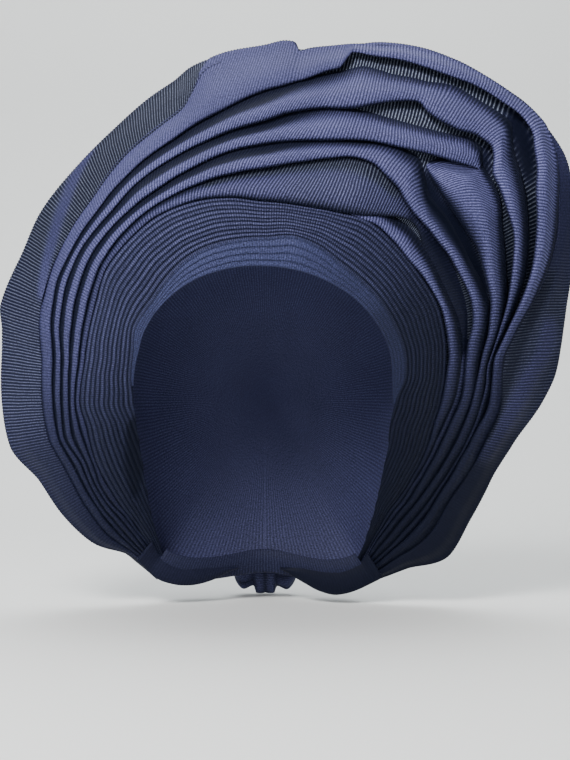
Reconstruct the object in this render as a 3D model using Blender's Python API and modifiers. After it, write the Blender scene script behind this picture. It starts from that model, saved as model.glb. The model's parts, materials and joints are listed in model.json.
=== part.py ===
"""Tied gele head tie: a pleated band round the face with a tall fan of folded cloth above it.

Units are metres, +Z is up and the front faces -Y. The origin is the middle of the head.
The front of the wrap is told by sections at even angles round the front view: 0 degrees is
straight up, and angles grow clockwise, so 90 degrees is towards +X. Each section runs from
the edge of the face opening, across the band and the pleats, out to the rim of the fan.
"""

import math

import bmesh
import bpy
from mathutils import Vector

# Sizes of the front, read on the upright plane through the middle of the head
OPENING_RADIUS = 0.077
BAND_HEIGHT = 0.015
PLEAT_HEIGHT = 0.0375
FAN_HEIGHT = 0.1095

# Depths: how far the wrap reaches to the front and back of the head's middle
HEAD_HALF_LENGTH = 0.095
PLEAT_LEAN = 0.003
PLEAT_BULGE = 0.005
FAN_LEAN = 0.057
LEAN_CURVE = 1.2
SLOPE_STEP = 0.001

# Walls of the cloth, and the gap that neighbouring pieces keep
CLOTH_WALL = 0.0016
FOLD_WALL = 0.0018
RIM_WALL = 0.0012
GAP = 0.0003

# Ridges: their greatest rise, and their rise as a share of the room that each has
FOLD_RISE = 0.014
PLEAT_RISE = 0.0013
BAND_RISE = 0.0007
RISE_SHARE = 0.42
RIM_RISE_SHARE = 0.7
PLEAT_COUNT = 12
BAND_LAYERS = 3

# The wrap over the crown and the back of the head
CROWN_INSET = 0.006
CROWN_GAP = 0.0014
CROWN_BULGE = 0.030
BACK_REACH = 0.099
NAPE_DROP = 0.103
NAPE_REACH = 0.078

# The band, knot and ends at the nape
HEM_ROOM = 0.0052
HEM_LEG = 0.010
NAPE_END_GAP = 0.0008
KNOT_WIDTH = 0.042
KNOT_HEIGHT = 0.034
KNOT_DEPTH = 0.024
TIE_END_WALL = 0.0020
TIE_END_LENGTH = 0.030

# The point in front of the wrap from which the sections are read
VIEW_DISTANCE = 0.835
VIEW_OFFSET = 0.0115

# Angles in degrees at which the pleats and the fan end
FAN_LEFT_END = -146.0
FAN_RIGHT_END = 149.0

# A row for each section. edge is a share of OPENING_RADIUS, band of BAND_HEIGHT, pleats of
# PLEAT_HEIGHT and fan of FAN_HEIGHT. The creases are shares of the fan's height there, from
# the pleats outwards. depth is a share of HEAD_HALF_LENGTH, and lean of FAN_LEAN.
SECTION_COLUMNS = ("angle", "edge", "band", "pleats", "fan", "crease_1", "crease_2", "crease_3",
                   "crease_4", "crease_5", "depth", "lean")
SECTIONS = (
    (-150, 1.440, 0.00, 0.05, 0.060, 0.18, 0.36, 0.50, 0.64, 0.77, 0.58, 0.06),
    (-140, 1.270, 0.00, 0.21, 0.110, 0.14, 0.33, 0.51, 0.65, 0.79, 0.47, 0.12),
    (-130, 1.135, 0.00, 0.41, 0.230, 0.09, 0.20, 0.34, 0.45, 0.66, 0.37, 0.18),
    (-120, 1.045, 0.00, 0.60, 0.280, 0.13, 0.21, 0.30, 0.40, 0.57, 0.27, 0.22),
    (-110, 0.995, 0.00, 0.72, 0.310, 0.08, 0.17, 0.26, 0.37, 0.53, 0.18, 0.27),
    (-100, 0.975, 0.00, 0.76, 0.415, 0.09, 0.20, 0.30, 0.38, 0.51, 0.09, 0.32),
    (-90, 0.980, 0.00, 0.83, 0.410, 0.07, 0.15, 0.24, 0.35, 0.49, 0.00, 0.39),
    (-80, 0.995, 0.08, 0.78, 0.435, 0.08, 0.18, 0.28, 0.37, 0.52, -0.10, 0.47),
    (-70, 1.010, 0.15, 0.81, 0.490, 0.08, 0.19, 0.32, 0.42, 0.56, -0.20, 0.56),
    (-60, 1.035, 0.34, 0.87, 0.460, 0.09, 0.24, 0.39, 0.50, 0.62, -0.31, 0.66),
    (-50, 1.045, 0.31, 1.01, 0.455, 0.09, 0.23, 0.37, 0.46, 0.59, -0.42, 0.76),
    (-40, 1.045, 0.48, 1.07, 0.470, 0.10, 0.24, 0.36, 0.49, 0.62, -0.51, 0.85),
    (-30, 1.040, 0.73, 1.13, 0.505, 0.10, 0.23, 0.41, 0.54, 0.70, -0.59, 0.92),
    (-20, 1.025, 0.90, 1.13, 0.600, 0.12, 0.26, 0.42, 0.56, 0.75, -0.64, 0.98),
    (-10, 1.010, 0.94, 1.08, 0.730, 0.14, 0.30, 0.44, 0.60, 0.79, -0.67, 1.00),
    (0, 1.000, 1.00, 1.00, 0.815, 0.21, 0.34, 0.50, 0.71, 0.86, -0.675, 1.00),
    (10, 0.995, 1.17, 0.99, 0.835, 0.28, 0.40, 0.58, 0.81, 0.92, -0.67, 1.00),
    (20, 1.000, 1.01, 1.03, 0.935, 0.31, 0.40, 0.58, 0.85, 0.93, -0.64, 0.98),
    (30, 1.000, 0.73, 1.12, 0.960, 0.18, 0.43, 0.62, 0.88, 0.95, -0.59, 0.92),
    (40, 1.010, 0.61, 1.04, 1.005, 0.12, 0.32, 0.68, 0.92, 0.965, -0.51, 0.85),
    (50, 1.010, 0.57, 1.01, 0.985, 0.10, 0.28, 0.57, 0.74, 0.95, -0.42, 0.76),
    (60, 1.005, 0.52, 0.97, 0.840, 0.14, 0.30, 0.51, 0.66, 0.86, -0.31, 0.66),
    (70, 0.995, 0.50, 0.89, 0.690, 0.17, 0.34, 0.46, 0.57, 0.82, -0.20, 0.56),
    (80, 0.965, 0.46, 0.83, 0.615, 0.15, 0.27, 0.35, 0.41, 0.62, -0.10, 0.47),
    (90, 0.950, 0.10, 0.75, 0.535, 0.16, 0.29, 0.36, 0.40, 0.59, 0.00, 0.39),
    (100, 0.950, 0.00, 0.66, 0.430, 0.17, 0.33, 0.45, 0.50, 0.675, 0.09, 0.32),
    (110, 0.980, 0.00, 0.57, 0.375, 0.14, 0.30, 0.42, 0.48, 0.68, 0.18, 0.27),
    (120, 1.020, 0.00, 0.45, 0.375, 0.13, 0.25, 0.38, 0.45, 0.62, 0.27, 0.22),
    (130, 1.100, 0.00, 0.29, 0.390, 0.12, 0.21, 0.34, 0.43, 0.62, 0.37, 0.18),
    (140, 1.220, 0.00, 0.15, 0.250, 0.13, 0.25, 0.40, 0.51, 0.70, 0.47, 0.12),
    (150, 1.380, 0.00, 0.05, 0.115, 0.14, 0.28, 0.42, 0.56, 0.74, 0.58, 0.06),
)
FOLD_COUNT = 5
FIRST_ANGLE = SECTIONS[0][0]
ANGLE_STEP = SECTIONS[1][0] - SECTIONS[0][0]

# Outline of one fold across its height, from its lower crease: share of height, share of rise
FOLD_OUTLINE = ((0.0, 0.0), (0.15, 0.75), (0.35, 1.0), (0.65, 0.75), (0.85, 0.35), (1.0, 0.0))

FOLD_STEPS = len(FOLD_OUTLINE) - 1

# How much the crown wrap swells past a plain ellipse, by angle: shares of CROWN_BULGE
CROWN_SWELL = ((0, 1.0), (45, 0.75), (90, 0.25), (135, 0.05), (180, 0.0))

# Where the nape hem lies on the crown wrap, in degrees from its backmost point
HEM_BACK_ANGLES = (84.0, 76.0, 68.0, 61.0)
KNOT_FALL = 74.0
TIE_END_FALL = (82.0, 66.0)

# The fan's columns run from end to end, and the forehead band spans a run of the same columns
FAN_COLUMNS = 38
BAND_FIRST_COLUMN = 9
BAND_LAST_COLUMN = 30
BAND_COLUMNS = BAND_LAST_COLUMN - BAND_FIRST_COLUMN
CROWN_SEGMENTS = 36
CROWN_RINGS = 18
NAPE_COLUMNS = 16
TIE_END_COLUMNS = 6

NAVY = (0.035, 0.040, 0.105, 1.0)
NAVY_BAND = (0.055, 0.075, 0.170, 1.0)
NAVY_SHEER = (0.050, 0.060, 0.130, 1.0)
NAVY_BACK = (0.028, 0.032, 0.085, 1.0)
CLOTH_ROUGHNESS = 0.6


def clear_scene():
    """Start from a scene with no objects."""
    for old in list(bpy.data.objects):
        bpy.data.objects.remove(old, do_unlink=True)


def make_material(name, colour):
    """Plain woven cloth of one colour."""
    material = bpy.data.materials.new(name)
    material.use_nodes = True
    shader = material.node_tree.nodes["Principled BSDF"]
    shader.inputs["Base Color"].default_value = colour
    shader.inputs["Roughness"].default_value = CLOTH_ROUGHNESS
    shader.inputs["Metallic"].default_value = 0.0
    return material


def through_rows(values, place_in_table):
    """Smooth curve through evenly spaced values (Catmull-Rom)."""
    last = len(values) - 1
    start = min(max(int(math.floor(place_in_table)), 0), last - 1)
    t = place_in_table - start
    before = values[max(start - 1, 0)]
    here = values[start]
    there = values[start + 1]
    after = values[min(start + 2, last)]
    slope_here = (there - before) / 2
    slope_there = (after - here) / 2
    rise = there - here
    cubic = slope_here + slope_there - 2 * rise
    square = 3 * rise - 2 * slope_here - slope_there
    return here + t * (slope_here + t * (square + t * cubic))


def section(angle):
    """Named values of the section at any angle, with its lengths in metres."""
    place_in_table = (angle - FIRST_ANGLE) / ANGLE_STEP
    shares = {}
    for number, name in enumerate(SECTION_COLUMNS):
        shares[name] = through_rows([row[number] for row in SECTIONS], place_in_table)
    edge = OPENING_RADIUS * shares["edge"]
    pleat_line = edge + PLEAT_HEIGHT * shares["pleats"]
    fan = FAN_HEIGHT * shares["fan"]
    creases = [pleat_line]
    for number in range(1, 6):
        creases.append(pleat_line + fan * shares["crease_%d" % number])
    return {
        "edge": edge,
        "band_line": edge + BAND_HEIGHT * max(shares["band"], 0.0),
        "pleat_line": pleat_line,
        "pleat_share": min(shares["pleats"], 1.0),
        "rim": pleat_line + fan,
        "creases": creases,
        "front": HEAD_HALF_LENGTH * shares["depth"],
        "lean": FAN_LEAN * shares["lean"],
    }


def cloth_depth(angle, radius):
    """Depth of the smooth cloth under the pleats and folds."""
    cut = section(angle)
    share = (radius - cut["edge"]) / (cut["pleat_line"] - cut["edge"])
    if share <= 1:
        bulge = PLEAT_BULGE * cut["pleat_share"] * math.sin(math.pi * max(share, 0.0))
        return cut["front"] + PLEAT_LEAN * share - bulge
    share = (radius - cut["pleat_line"]) / (cut["rim"] - cut["pleat_line"])
    return cut["front"] + PLEAT_LEAN + cut["lean"] * share ** LEAN_CURVE


def slant(angle, radius):
    """How much deeper than thick the cloth is where it slants away from the front."""
    outward = cloth_depth(angle, radius + SLOPE_STEP) - cloth_depth(angle, radius - SLOPE_STEP)
    turn = math.degrees(SLOPE_STEP / radius)
    around = cloth_depth(angle + turn, radius) - cloth_depth(angle - turn, radius)
    return math.hypot(1.0, outward / (2 * SLOPE_STEP), around / (2 * SLOPE_STEP))


def place(angle, radius, depth):
    """Point that shows at this angle and radius from the front, and lies at this depth."""
    spread = 1 + depth / VIEW_DISTANCE
    turn = math.radians(angle)
    x = VIEW_OFFSET + (radius * math.sin(turn) - VIEW_OFFSET) * spread
    z = VIEW_OFFSET + (radius * math.cos(turn) - VIEW_OFFSET) * spread
    return Vector((x, depth, z))


def place_at(angle, real_radius, depth):
    """Point at this depth whose own radius, not the one that shows from the front, is given."""
    return place(angle, real_radius / (1 + depth / VIEW_DISTANCE), depth)


def blend(start, end, share):
    """Value part of the way from start to end."""
    return start + (end - start) * share


def new_grid(name, columns, rows):
    """Flat grid that faces +Z, with its columns along X and its rows along Y."""
    bpy.ops.mesh.primitive_grid_add(x_subdivisions=columns, y_subdivisions=rows, size=2.0)
    piece = bpy.context.object
    piece.name = name
    piece.data.name = name
    return piece


def grid_place(vertex, columns, rows):
    """Column and row of a grid's vertex."""
    return round((vertex.co.x + 1) / 2 * columns), round((vertex.co.y + 1) / 2 * rows)


def thicken(piece, wall):
    """Give an open surface its wall, behind it."""
    solidify = piece.modifiers.new("Wall", "SOLIDIFY")
    solidify.thickness = wall
    solidify.offset = -1.0


def finish_piece(piece, material, parts):
    """Shade a piece smooth, give it its material and put it in the part's collection."""
    piece.data.shade_smooth()
    piece.data.materials.append(material)
    for holder in list(piece.users_collection):
        holder.objects.unlink(piece)
    parts.objects.link(piece)


def make_front_cloth(name, columns, rows, ridges, wall, packed, material, parts):
    """Cloth on the front: a flat slab laid onto the sections, face and back.

    ridges gives the angle, the radius and the rise towards the front at a place in the grid.
    Cloth that is packed solid behind its ridges keeps a smooth back.
    """
    piece = new_grid(name, columns, rows)
    thicken(piece, wall)
    bpy.ops.object.modifier_apply(modifier="Wall")
    for vertex in piece.data.vertices:
        column, row = grid_place(vertex, columns, rows)
        angle, radius, rise = ridges(column / columns, row)
        depth = cloth_depth(angle, radius)
        if vertex.co.z < -wall / 2:
            depth += wall * slant(angle, radius) - (0.0 if packed else rise)
        else:
            depth -= rise
        vertex.co = place(angle, radius, depth)
    finish_piece(piece, material, parts)


def band_ridges(across, row):
    """The smooth band over the forehead, with a few shallow layers."""
    fan_column = BAND_FIRST_COLUMN + BAND_COLUMNS * across
    angle = blend(FAN_LEFT_END, FAN_RIGHT_END, fan_column / FAN_COLUMNS)
    cut = section(angle)
    radius = blend(cut["edge"], cut["band_line"], row / (2 * BAND_LAYERS))
    layer = (cut["band_line"] - cut["edge"]) / BAND_LAYERS
    return angle, radius, min(BAND_RISE, RISE_SHARE * layer) * (row % 2)


def pleat_ridges(across, row):
    """The fine pleats that run round the face above the band."""
    angle = blend(FAN_LEFT_END, FAN_RIGHT_END, across)
    cut = section(angle)
    start = cut["band_line"] + GAP
    radius = blend(start, cut["pleat_line"], row / (2 * PLEAT_COUNT))
    pitch = (cut["pleat_line"] - start) / PLEAT_COUNT
    return angle, radius, min(PLEAT_RISE, RISE_SHARE * pitch) * (row % 2)


def on_fold(lower, upper, step):
    """Radius and rise of one point on a fold that lies between two creases."""
    height_share, rise_share = FOLD_OUTLINE[step]
    rise = min(FOLD_RISE, RISE_SHARE * (upper - lower)) * rise_share
    return blend(lower, upper, height_share), rise


def fold_ridges(across, row):
    """The broad folds of the fan."""
    angle = blend(FAN_LEFT_END, FAN_RIGHT_END, across)
    creases = section(angle)["creases"]
    fold = min(row // FOLD_STEPS, FOLD_COUNT - 1)
    lower = creases[fold] + (GAP if fold == 0 else 0.0)
    radius, rise = on_fold(lower, creases[fold + 1], row - fold * FOLD_STEPS)
    return angle, radius, rise


def rim_ridges(across, row):
    """The sheer outermost fold that ends in the rim of the fan."""
    angle = blend(FAN_LEFT_END, FAN_RIGHT_END, across)
    cut = section(angle)
    radius, rise = on_fold(cut["creases"][-1] + GAP, cut["rim"], row)
    return angle, radius, rise * RIM_RISE_SHARE


def crown_edge(angle):
    """Radius and depth of the crown wrap's front edge, close behind the pleats."""
    turned = (angle + 180) % 360 - 180
    fan_end = FAN_RIGHT_END if turned > 0 else -FAN_LEFT_END
    side = math.copysign(min(abs(turned), fan_end), turned)
    read_radius = section(side)["edge"] + CROWN_INSET
    cloth_room = max(CLOTH_WALL, FOLD_WALL) * slant(side, read_radius) + CROWN_GAP
    depth = cloth_depth(side, read_radius) + cloth_room
    radius = read_radius * (1 + depth / VIEW_DISTANCE)
    share = max(abs(turned) - fan_end, 0.0) / (180 - fan_end)
    share = share * share * (3 - 2 * share)
    return blend(radius, NAPE_DROP, share), blend(depth, NAPE_REACH, share)


def crown_point(angle, fall):
    """Point of the crown wrap, fall degrees from its backmost point (90 is its edge)."""
    edge_radius, edge_depth = crown_edge(angle)
    turned = abs((angle + 180) % 360 - 180)
    swell_step = CROWN_SWELL[1][0] - CROWN_SWELL[0][0]
    swell = CROWN_BULGE * through_rows([row[1] for row in CROWN_SWELL], turned / swell_step)
    slope = math.radians(fall)
    radius = edge_radius * math.sin(slope) + swell * math.sin(2 * slope)
    return place_at(angle, radius, blend(edge_depth, BACK_REACH, math.cos(slope)))


def crown_outside(angle, fall, distance):
    """Point at a distance outside the crown wrap."""
    step = 0.5
    along = crown_point(angle + step, fall) - crown_point(angle - step, fall)
    down = crown_point(angle, fall + step) - crown_point(angle, fall - step)
    return crown_point(angle, fall) + down.cross(along).normalized() * distance


def make_crown(material, parts):
    """Plain wrap over the crown and back of the head: half a sphere moved onto its form."""
    bpy.ops.mesh.primitive_uv_sphere_add(segments=CROWN_SEGMENTS, ring_count=CROWN_RINGS)
    piece = bpy.context.object
    piece.name = "crown_wrap"
    piece.data.name = "crown_wrap"
    mesh = bmesh.new()
    mesh.from_mesh(piece.data)
    ring_step = math.pi / CROWN_RINGS
    front_half = [vertex for vertex in mesh.verts if vertex.co.z < -math.sin(ring_step / 2)]
    bmesh.ops.delete(mesh, geom=front_half, context="VERTS")
    for vertex in mesh.verts:
        fall = math.degrees(math.acos(min(max(vertex.co.z, 0.0), 1.0)))
        angle = math.degrees(math.atan2(vertex.co.x, -vertex.co.y))
        vertex.co = crown_point(angle, fall)
    mesh.to_mesh(piece.data)
    mesh.free()
    thicken(piece, CLOTH_WALL)
    finish_piece(piece, material, parts)


def make_wrapped_cloth(name, columns, rows, surface, wall, material, parts):
    """Cloth at the nape: a flat grid moved onto a surface that faces out, then thickened."""
    piece = new_grid(name, columns, rows)
    for vertex in piece.data.vertices:
        column, row = grid_place(vertex, columns, rows)
        vertex.co = surface(column / columns, row)
    thicken(piece, wall)
    finish_piece(piece, material, parts)


def nape_surface(across, row):
    """Plain band folded round the wrap's edge at the nape, between the ends of the fan."""
    end_gap = math.degrees(NAPE_END_GAP / NAPE_DROP)
    angle = blend(FAN_RIGHT_END + end_gap, 360 + FAN_LEFT_END - end_gap, across)
    edge_radius, edge_depth = crown_edge(angle)
    front = edge_depth - HEM_ROOM
    hem = ((edge_radius - HEM_LEG, front), (edge_radius - HEM_LEG / 3, front - CLOTH_WALL),
           (edge_radius + HEM_ROOM, front + CLOTH_WALL))
    if row < len(hem):
        radius, depth = hem[row]
        return place_at(angle, radius, depth)
    return crown_outside(angle, HEM_BACK_ANGLES[row - len(hem)], HEM_ROOM)


def make_tie_end(name, side, material, parts):
    """One short end of the cloth, laid flat along the outside of the nape band."""
    inner = math.degrees((KNOT_WIDTH / 2 + GAP) / NAPE_DROP)
    outer = inner + math.degrees(TIE_END_LENGTH / NAPE_DROP)
    first, last = (180 - outer, 180 - inner) if side > 0 else (180 + inner, 180 + outer)

    def surface(across, row):
        fall = blend(TIE_END_FALL[0], TIE_END_FALL[1], row / 2)
        return crown_outside(blend(first, last, across), fall, HEM_ROOM + TIE_END_WALL + 3 * GAP)

    make_wrapped_cloth(name, TIE_END_COLUMNS, 2, surface, TIE_END_WALL, material, parts)


def make_knot(material, parts):
    """Knot at the nape: a rounded block set on the nape band."""
    seat = crown_outside(180, KNOT_FALL, HEM_ROOM + KNOT_DEPTH / 2 + GAP)
    bpy.ops.mesh.primitive_cube_add(size=1.0, location=seat)
    piece = bpy.context.object
    piece.name = "nape_knot"
    piece.data.name = "nape_knot"
    piece.scale = (KNOT_WIDTH, KNOT_DEPTH, KNOT_HEIGHT)
    bpy.ops.object.transform_apply(location=False, rotation=False, scale=True)
    rounding = piece.modifiers.new("Rounding", "SUBSURF")
    rounding.levels = 2
    rounding.render_levels = 2
    finish_piece(piece, material, parts)


def main():
    clear_scene()
    parts = bpy.data.collections.new("tied_gele_head_tie")
    bpy.context.scene.collection.children.link(parts)
    cloth = make_material("pleated_cloth", NAVY)
    band_cloth = make_material("band_cloth", NAVY_BAND)
    sheer_cloth = make_material("sheer_cloth", NAVY_SHEER)
    back_cloth = make_material("back_cloth", NAVY_BACK)
    make_front_cloth("forehead_band", BAND_COLUMNS, 2 * BAND_LAYERS, band_ridges,
                     CLOTH_WALL, True, band_cloth, parts)
    make_front_cloth("fine_pleats", FAN_COLUMNS, 2 * PLEAT_COUNT, pleat_ridges,
                     CLOTH_WALL, True, cloth, parts)
    make_front_cloth("fan_folds", FAN_COLUMNS, FOLD_COUNT * FOLD_STEPS, fold_ridges,
                     FOLD_WALL, False, cloth, parts)
    make_front_cloth("fan_rim", FAN_COLUMNS, FOLD_STEPS, rim_ridges,
                     RIM_WALL, False, sheer_cloth, parts)
    make_crown(back_cloth, parts)
    make_wrapped_cloth("nape_band", NAPE_COLUMNS, 2 + len(HEM_BACK_ANGLES), nape_surface,
                       CLOTH_WALL, back_cloth, parts)
    make_knot(back_cloth, parts)
    make_tie_end("tie_end_left", -1, back_cloth, parts)
    make_tie_end("tie_end_right", 1, back_cloth, parts)


main()
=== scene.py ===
# %% [markdown]
# # A tied gele head tie
#
# A gele is one long, stiff cloth that is wrapped round the head, pleated finely round the face and
# fanned out above it. This lesson dresses a plain model of one with its real folds and weave.
# First the plain model is loaded. It never changes: it says how big everything is and where it sits.

# %% Load the plain model
import json
import math

import bpy
import numpy as np
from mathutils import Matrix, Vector

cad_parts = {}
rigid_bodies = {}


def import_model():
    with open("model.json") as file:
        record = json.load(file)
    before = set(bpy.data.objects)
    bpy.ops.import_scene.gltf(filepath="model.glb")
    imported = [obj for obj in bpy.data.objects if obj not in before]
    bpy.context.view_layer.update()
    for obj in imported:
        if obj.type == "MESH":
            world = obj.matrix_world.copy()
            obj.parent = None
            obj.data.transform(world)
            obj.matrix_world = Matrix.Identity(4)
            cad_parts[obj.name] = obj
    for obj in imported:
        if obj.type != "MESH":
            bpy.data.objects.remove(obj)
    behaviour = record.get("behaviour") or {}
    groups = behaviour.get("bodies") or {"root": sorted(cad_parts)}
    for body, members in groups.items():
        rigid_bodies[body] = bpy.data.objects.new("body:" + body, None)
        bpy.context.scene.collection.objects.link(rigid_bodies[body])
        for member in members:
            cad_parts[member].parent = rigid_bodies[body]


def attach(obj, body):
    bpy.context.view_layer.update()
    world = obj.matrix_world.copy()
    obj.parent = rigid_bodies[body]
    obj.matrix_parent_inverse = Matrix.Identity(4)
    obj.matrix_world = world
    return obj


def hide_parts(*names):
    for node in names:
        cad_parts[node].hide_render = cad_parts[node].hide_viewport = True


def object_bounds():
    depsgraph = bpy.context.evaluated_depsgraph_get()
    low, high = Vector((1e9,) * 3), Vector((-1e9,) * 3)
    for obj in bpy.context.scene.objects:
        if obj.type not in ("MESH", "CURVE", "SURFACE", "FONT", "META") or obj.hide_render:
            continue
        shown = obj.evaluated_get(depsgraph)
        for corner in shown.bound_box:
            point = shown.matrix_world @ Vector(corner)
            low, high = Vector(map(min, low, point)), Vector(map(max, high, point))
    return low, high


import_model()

cad_box = [[float(value) for value in corner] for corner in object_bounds()]
print("plain model, metres:", cad_box)

# %% [markdown]
# ## The camera
#
# The wrap was looked at from straight in front, at the height of the forehead. A long lens keeps
# its outline the same as in the picture, so the camera stands as far off as the wrap was seen from.
# It could be aimed with a constraint. It looks level along one axis, so a quarter turn is enough here.

# %% Camera
VIEW_DISTANCE = 0.835
VIEW_OFFSET = 0.0115
LENS_MM = 68.73
SENSOR_MM = 36.0
IMAGE_WIDTH = 570
IMAGE_HEIGHT = 760

camera_data = bpy.data.cameras.new("Camera")
camera_data.sensor_fit = "VERTICAL"
camera_data.sensor_height = SENSOR_MM
camera_data.lens = LENS_MM
camera = bpy.data.objects.new("Camera", camera_data)
camera.location = (VIEW_OFFSET, -VIEW_DISTANCE, VIEW_OFFSET)
camera.rotation_euler = (math.pi / 2, 0.0, 0.0)
bpy.context.scene.collection.objects.link(camera)
bpy.context.scene.camera = camera
print("camera sees", round(IMAGE_WIDTH / IMAGE_HEIGHT * SENSOR_MM / LENS_MM * VIEW_DISTANCE, 3), "m across")

# %% [markdown]
# ## The floor
#
# The floor sweeps up behind the wrap as one pale sheet of paper does in a studio, so that no corner
# shows. It could be a plane that is extruded up and bevelled. Here its side line is worked out, point by
# point, and drawn out sideways, which gives an even bend. The paper is see-through from behind, so that
# the back of the wrap can be looked at too.

# %% Floor
FLOOR_GAP = 0.002
FLOOR_HALF_WIDTH = 2.2
FLOOR_FRONT = -2.0
SWEEP_START = 0.55
SWEEP_RADIUS = 0.5
SWEEP_STEPS = 16
BACKDROP_HEIGHT = 2.4
PAPER_COLOUR = (0.80, 0.82, 0.82, 1.0)
PAPER_ROUGHNESS = 0.9


def make_paper():
    """Pale paper that is see-through from behind."""
    material = bpy.data.materials.new("pale_paper")
    material.use_nodes = True
    tree = material.node_tree
    shader = tree.nodes["Principled BSDF"]
    shader.inputs["Base Color"].default_value = PAPER_COLOUR
    shader.inputs["Roughness"].default_value = PAPER_ROUGHNESS
    side = tree.nodes.new("ShaderNodeNewGeometry")
    front_side = tree.nodes.new("ShaderNodeMath")
    front_side.operation = "SUBTRACT"
    front_side.inputs[0].default_value = 1.0
    tree.links.new(side.outputs["Backfacing"], front_side.inputs[1])
    tree.links.new(front_side.outputs[0], shader.inputs["Alpha"])
    return material


floor_height = cad_box[0][2] - FLOOR_GAP
profile = [(FLOOR_FRONT, floor_height), (SWEEP_START, floor_height)]
for step in range(1, SWEEP_STEPS + 1):
    turn = step / SWEEP_STEPS * math.pi / 2
    profile.append((SWEEP_START + SWEEP_RADIUS * math.sin(turn),
                    floor_height + SWEEP_RADIUS * (1 - math.cos(turn))))
profile.append((SWEEP_START + SWEEP_RADIUS, floor_height + BACKDROP_HEIGHT))
floor_points = [(side * FLOOR_HALF_WIDTH, y, z) for y, z in profile for side in (-1, 1)]
floor_faces = [(2 * n, 2 * n + 1, 2 * n + 3, 2 * n + 2) for n in range(len(profile) - 1)]
floor_mesh = bpy.data.meshes.new("studio_floor")
floor_mesh.from_pydata(floor_points, [], floor_faces)
floor_mesh.update()
floor = bpy.data.objects.new("studio_floor", floor_mesh)
bpy.context.scene.collection.objects.link(floor)
floor.data.materials.append(make_paper())
floor.data.shade_smooth()
print("floor at", round(floor_height, 4), "m")

# %% [markdown]
# ## The lamps and the room
#
# Big lamps give soft shadows: one above and in front, a weaker one low in front, and one for the backdrop.
# A camera ray doesn't see them. The room around is pale to look at but gives little light, so that the
# lamps shape the cloth. A Light Path node tells the two apart.

# %% Lamps and room
# Name, place, the point it faces, size, power, and colour
LAMPS = (
    ("key_lamp", (-0.38, -0.85, 0.80), (0.03, 0.0, 0.10), 0.45, 22.0, (1.0, 0.98, 0.96)),
    ("front_lamp", (-0.3, -1.5, 0.45), (0.0, 0.0, 0.0), 0.8, 4.0, (1.0, 0.98, 0.98)),
    ("backdrop_lamp", (0.0, 0.45, 1.5), (0.0, 1.0, 0.1), 1.5, 30.0, (0.98, 1.0, 1.0)),
)
ROOM_LIGHT_COLOUR = (0.90, 0.90, 0.93, 1.0)
ROOM_LIGHT_STRENGTH = 0.16
ROOM_LOOK_COLOUR = (0.72, 0.73, 0.73, 1.0)


def soft_lamp(name, place, target, size, power, colour):
    """A square lamp that faces a point."""
    data = bpy.data.lights.new(name, "AREA")
    data.shape = "SQUARE"
    data.size = size
    data.energy = power
    data.color = colour
    lamp = bpy.data.objects.new(name, data)
    lamp.location = place
    lamp.visible_camera = False
    lamp.rotation_euler = (Vector(target) - Vector(place)).to_track_quat("-Z", "Y").to_euler()
    bpy.context.scene.collection.objects.link(lamp)


def make_room():
    """A room that is pale to look at and gives little light."""
    world = bpy.data.worlds.new("studio")
    world.use_nodes = True
    tree = world.node_tree
    light = tree.nodes["Background"]
    light.inputs["Color"].default_value = ROOM_LIGHT_COLOUR
    light.inputs["Strength"].default_value = ROOM_LIGHT_STRENGTH
    look = tree.nodes.new("ShaderNodeBackground")
    look.inputs["Color"].default_value = ROOM_LOOK_COLOUR
    ray = tree.nodes.new("ShaderNodeLightPath")
    mix = tree.nodes.new("ShaderNodeMixShader")
    tree.links.new(ray.outputs["Is Camera Ray"], mix.inputs["Fac"])
    tree.links.new(light.outputs[0], mix.inputs[1])
    tree.links.new(look.outputs[0], mix.inputs[2])
    tree.links.new(mix.outputs[0], tree.nodes["World Output"].inputs["Surface"])
    return world


for lamp_row in LAMPS:
    soft_lamp(*lamp_row)
bpy.context.scene.world = make_room()
print("lamps:", [lamp_row[0] for lamp_row in LAMPS])

# %% [markdown]
# ## Reading the folds round the face
#
# Every fold of the front runs round the face, so it is told best by angle and radius, as on a clock: 0
# degrees is straight up and 90 degrees is to the right. Each line of the cloth is a short table of angles and
# radii. A radius is counted in steps of a little over half a millimetre, on the upright plane through the
# middle of the head. A smooth curve then joins the rows.

# %% Lines of the cloth
STEP = 0.0005755
MM_IN_METRE = 1000

EVEN_ANGLES = tuple(range(-150, 151, 10))
EDGE = (193, 170, 152, 140, 133, 130.5, 131, 133, 135, 138.6, 140, 140, 139, 137, 135.3, 133.8,
        133.3, 133.5, 134, 135, 135, 134.5, 133, 129, 127.3, 127, 131, 136.6, 147.3, 163.4, 184.8)
BAND = (193, 170, 152, 140, 133, 130.5, 131, 135, 139, 147.5, 148, 152.5, 158, 160.5, 160, 160,
        164, 160, 153, 151, 150, 148, 146, 141, 130, 127, 131, 136.6, 147.3, 163.4, 184.8)
PLEATS = (196, 184, 179, 179, 180, 180, 185, 184, 188, 195, 206, 210, 213, 211, 206, 199,
          198, 201, 207, 203.5, 200, 198, 192, 184, 177, 170, 168, 166, 166, 173, 188)
RIM = (207, 205.5, 223, 232, 239, 259, 263, 267, 281, 282.5, 292.5, 299, 309, 325, 345, 354.5,
       357.5, 378, 391, 395, 389, 358, 322, 300, 278, 251.5, 239, 237, 240.5, 220, 209.5)


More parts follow.
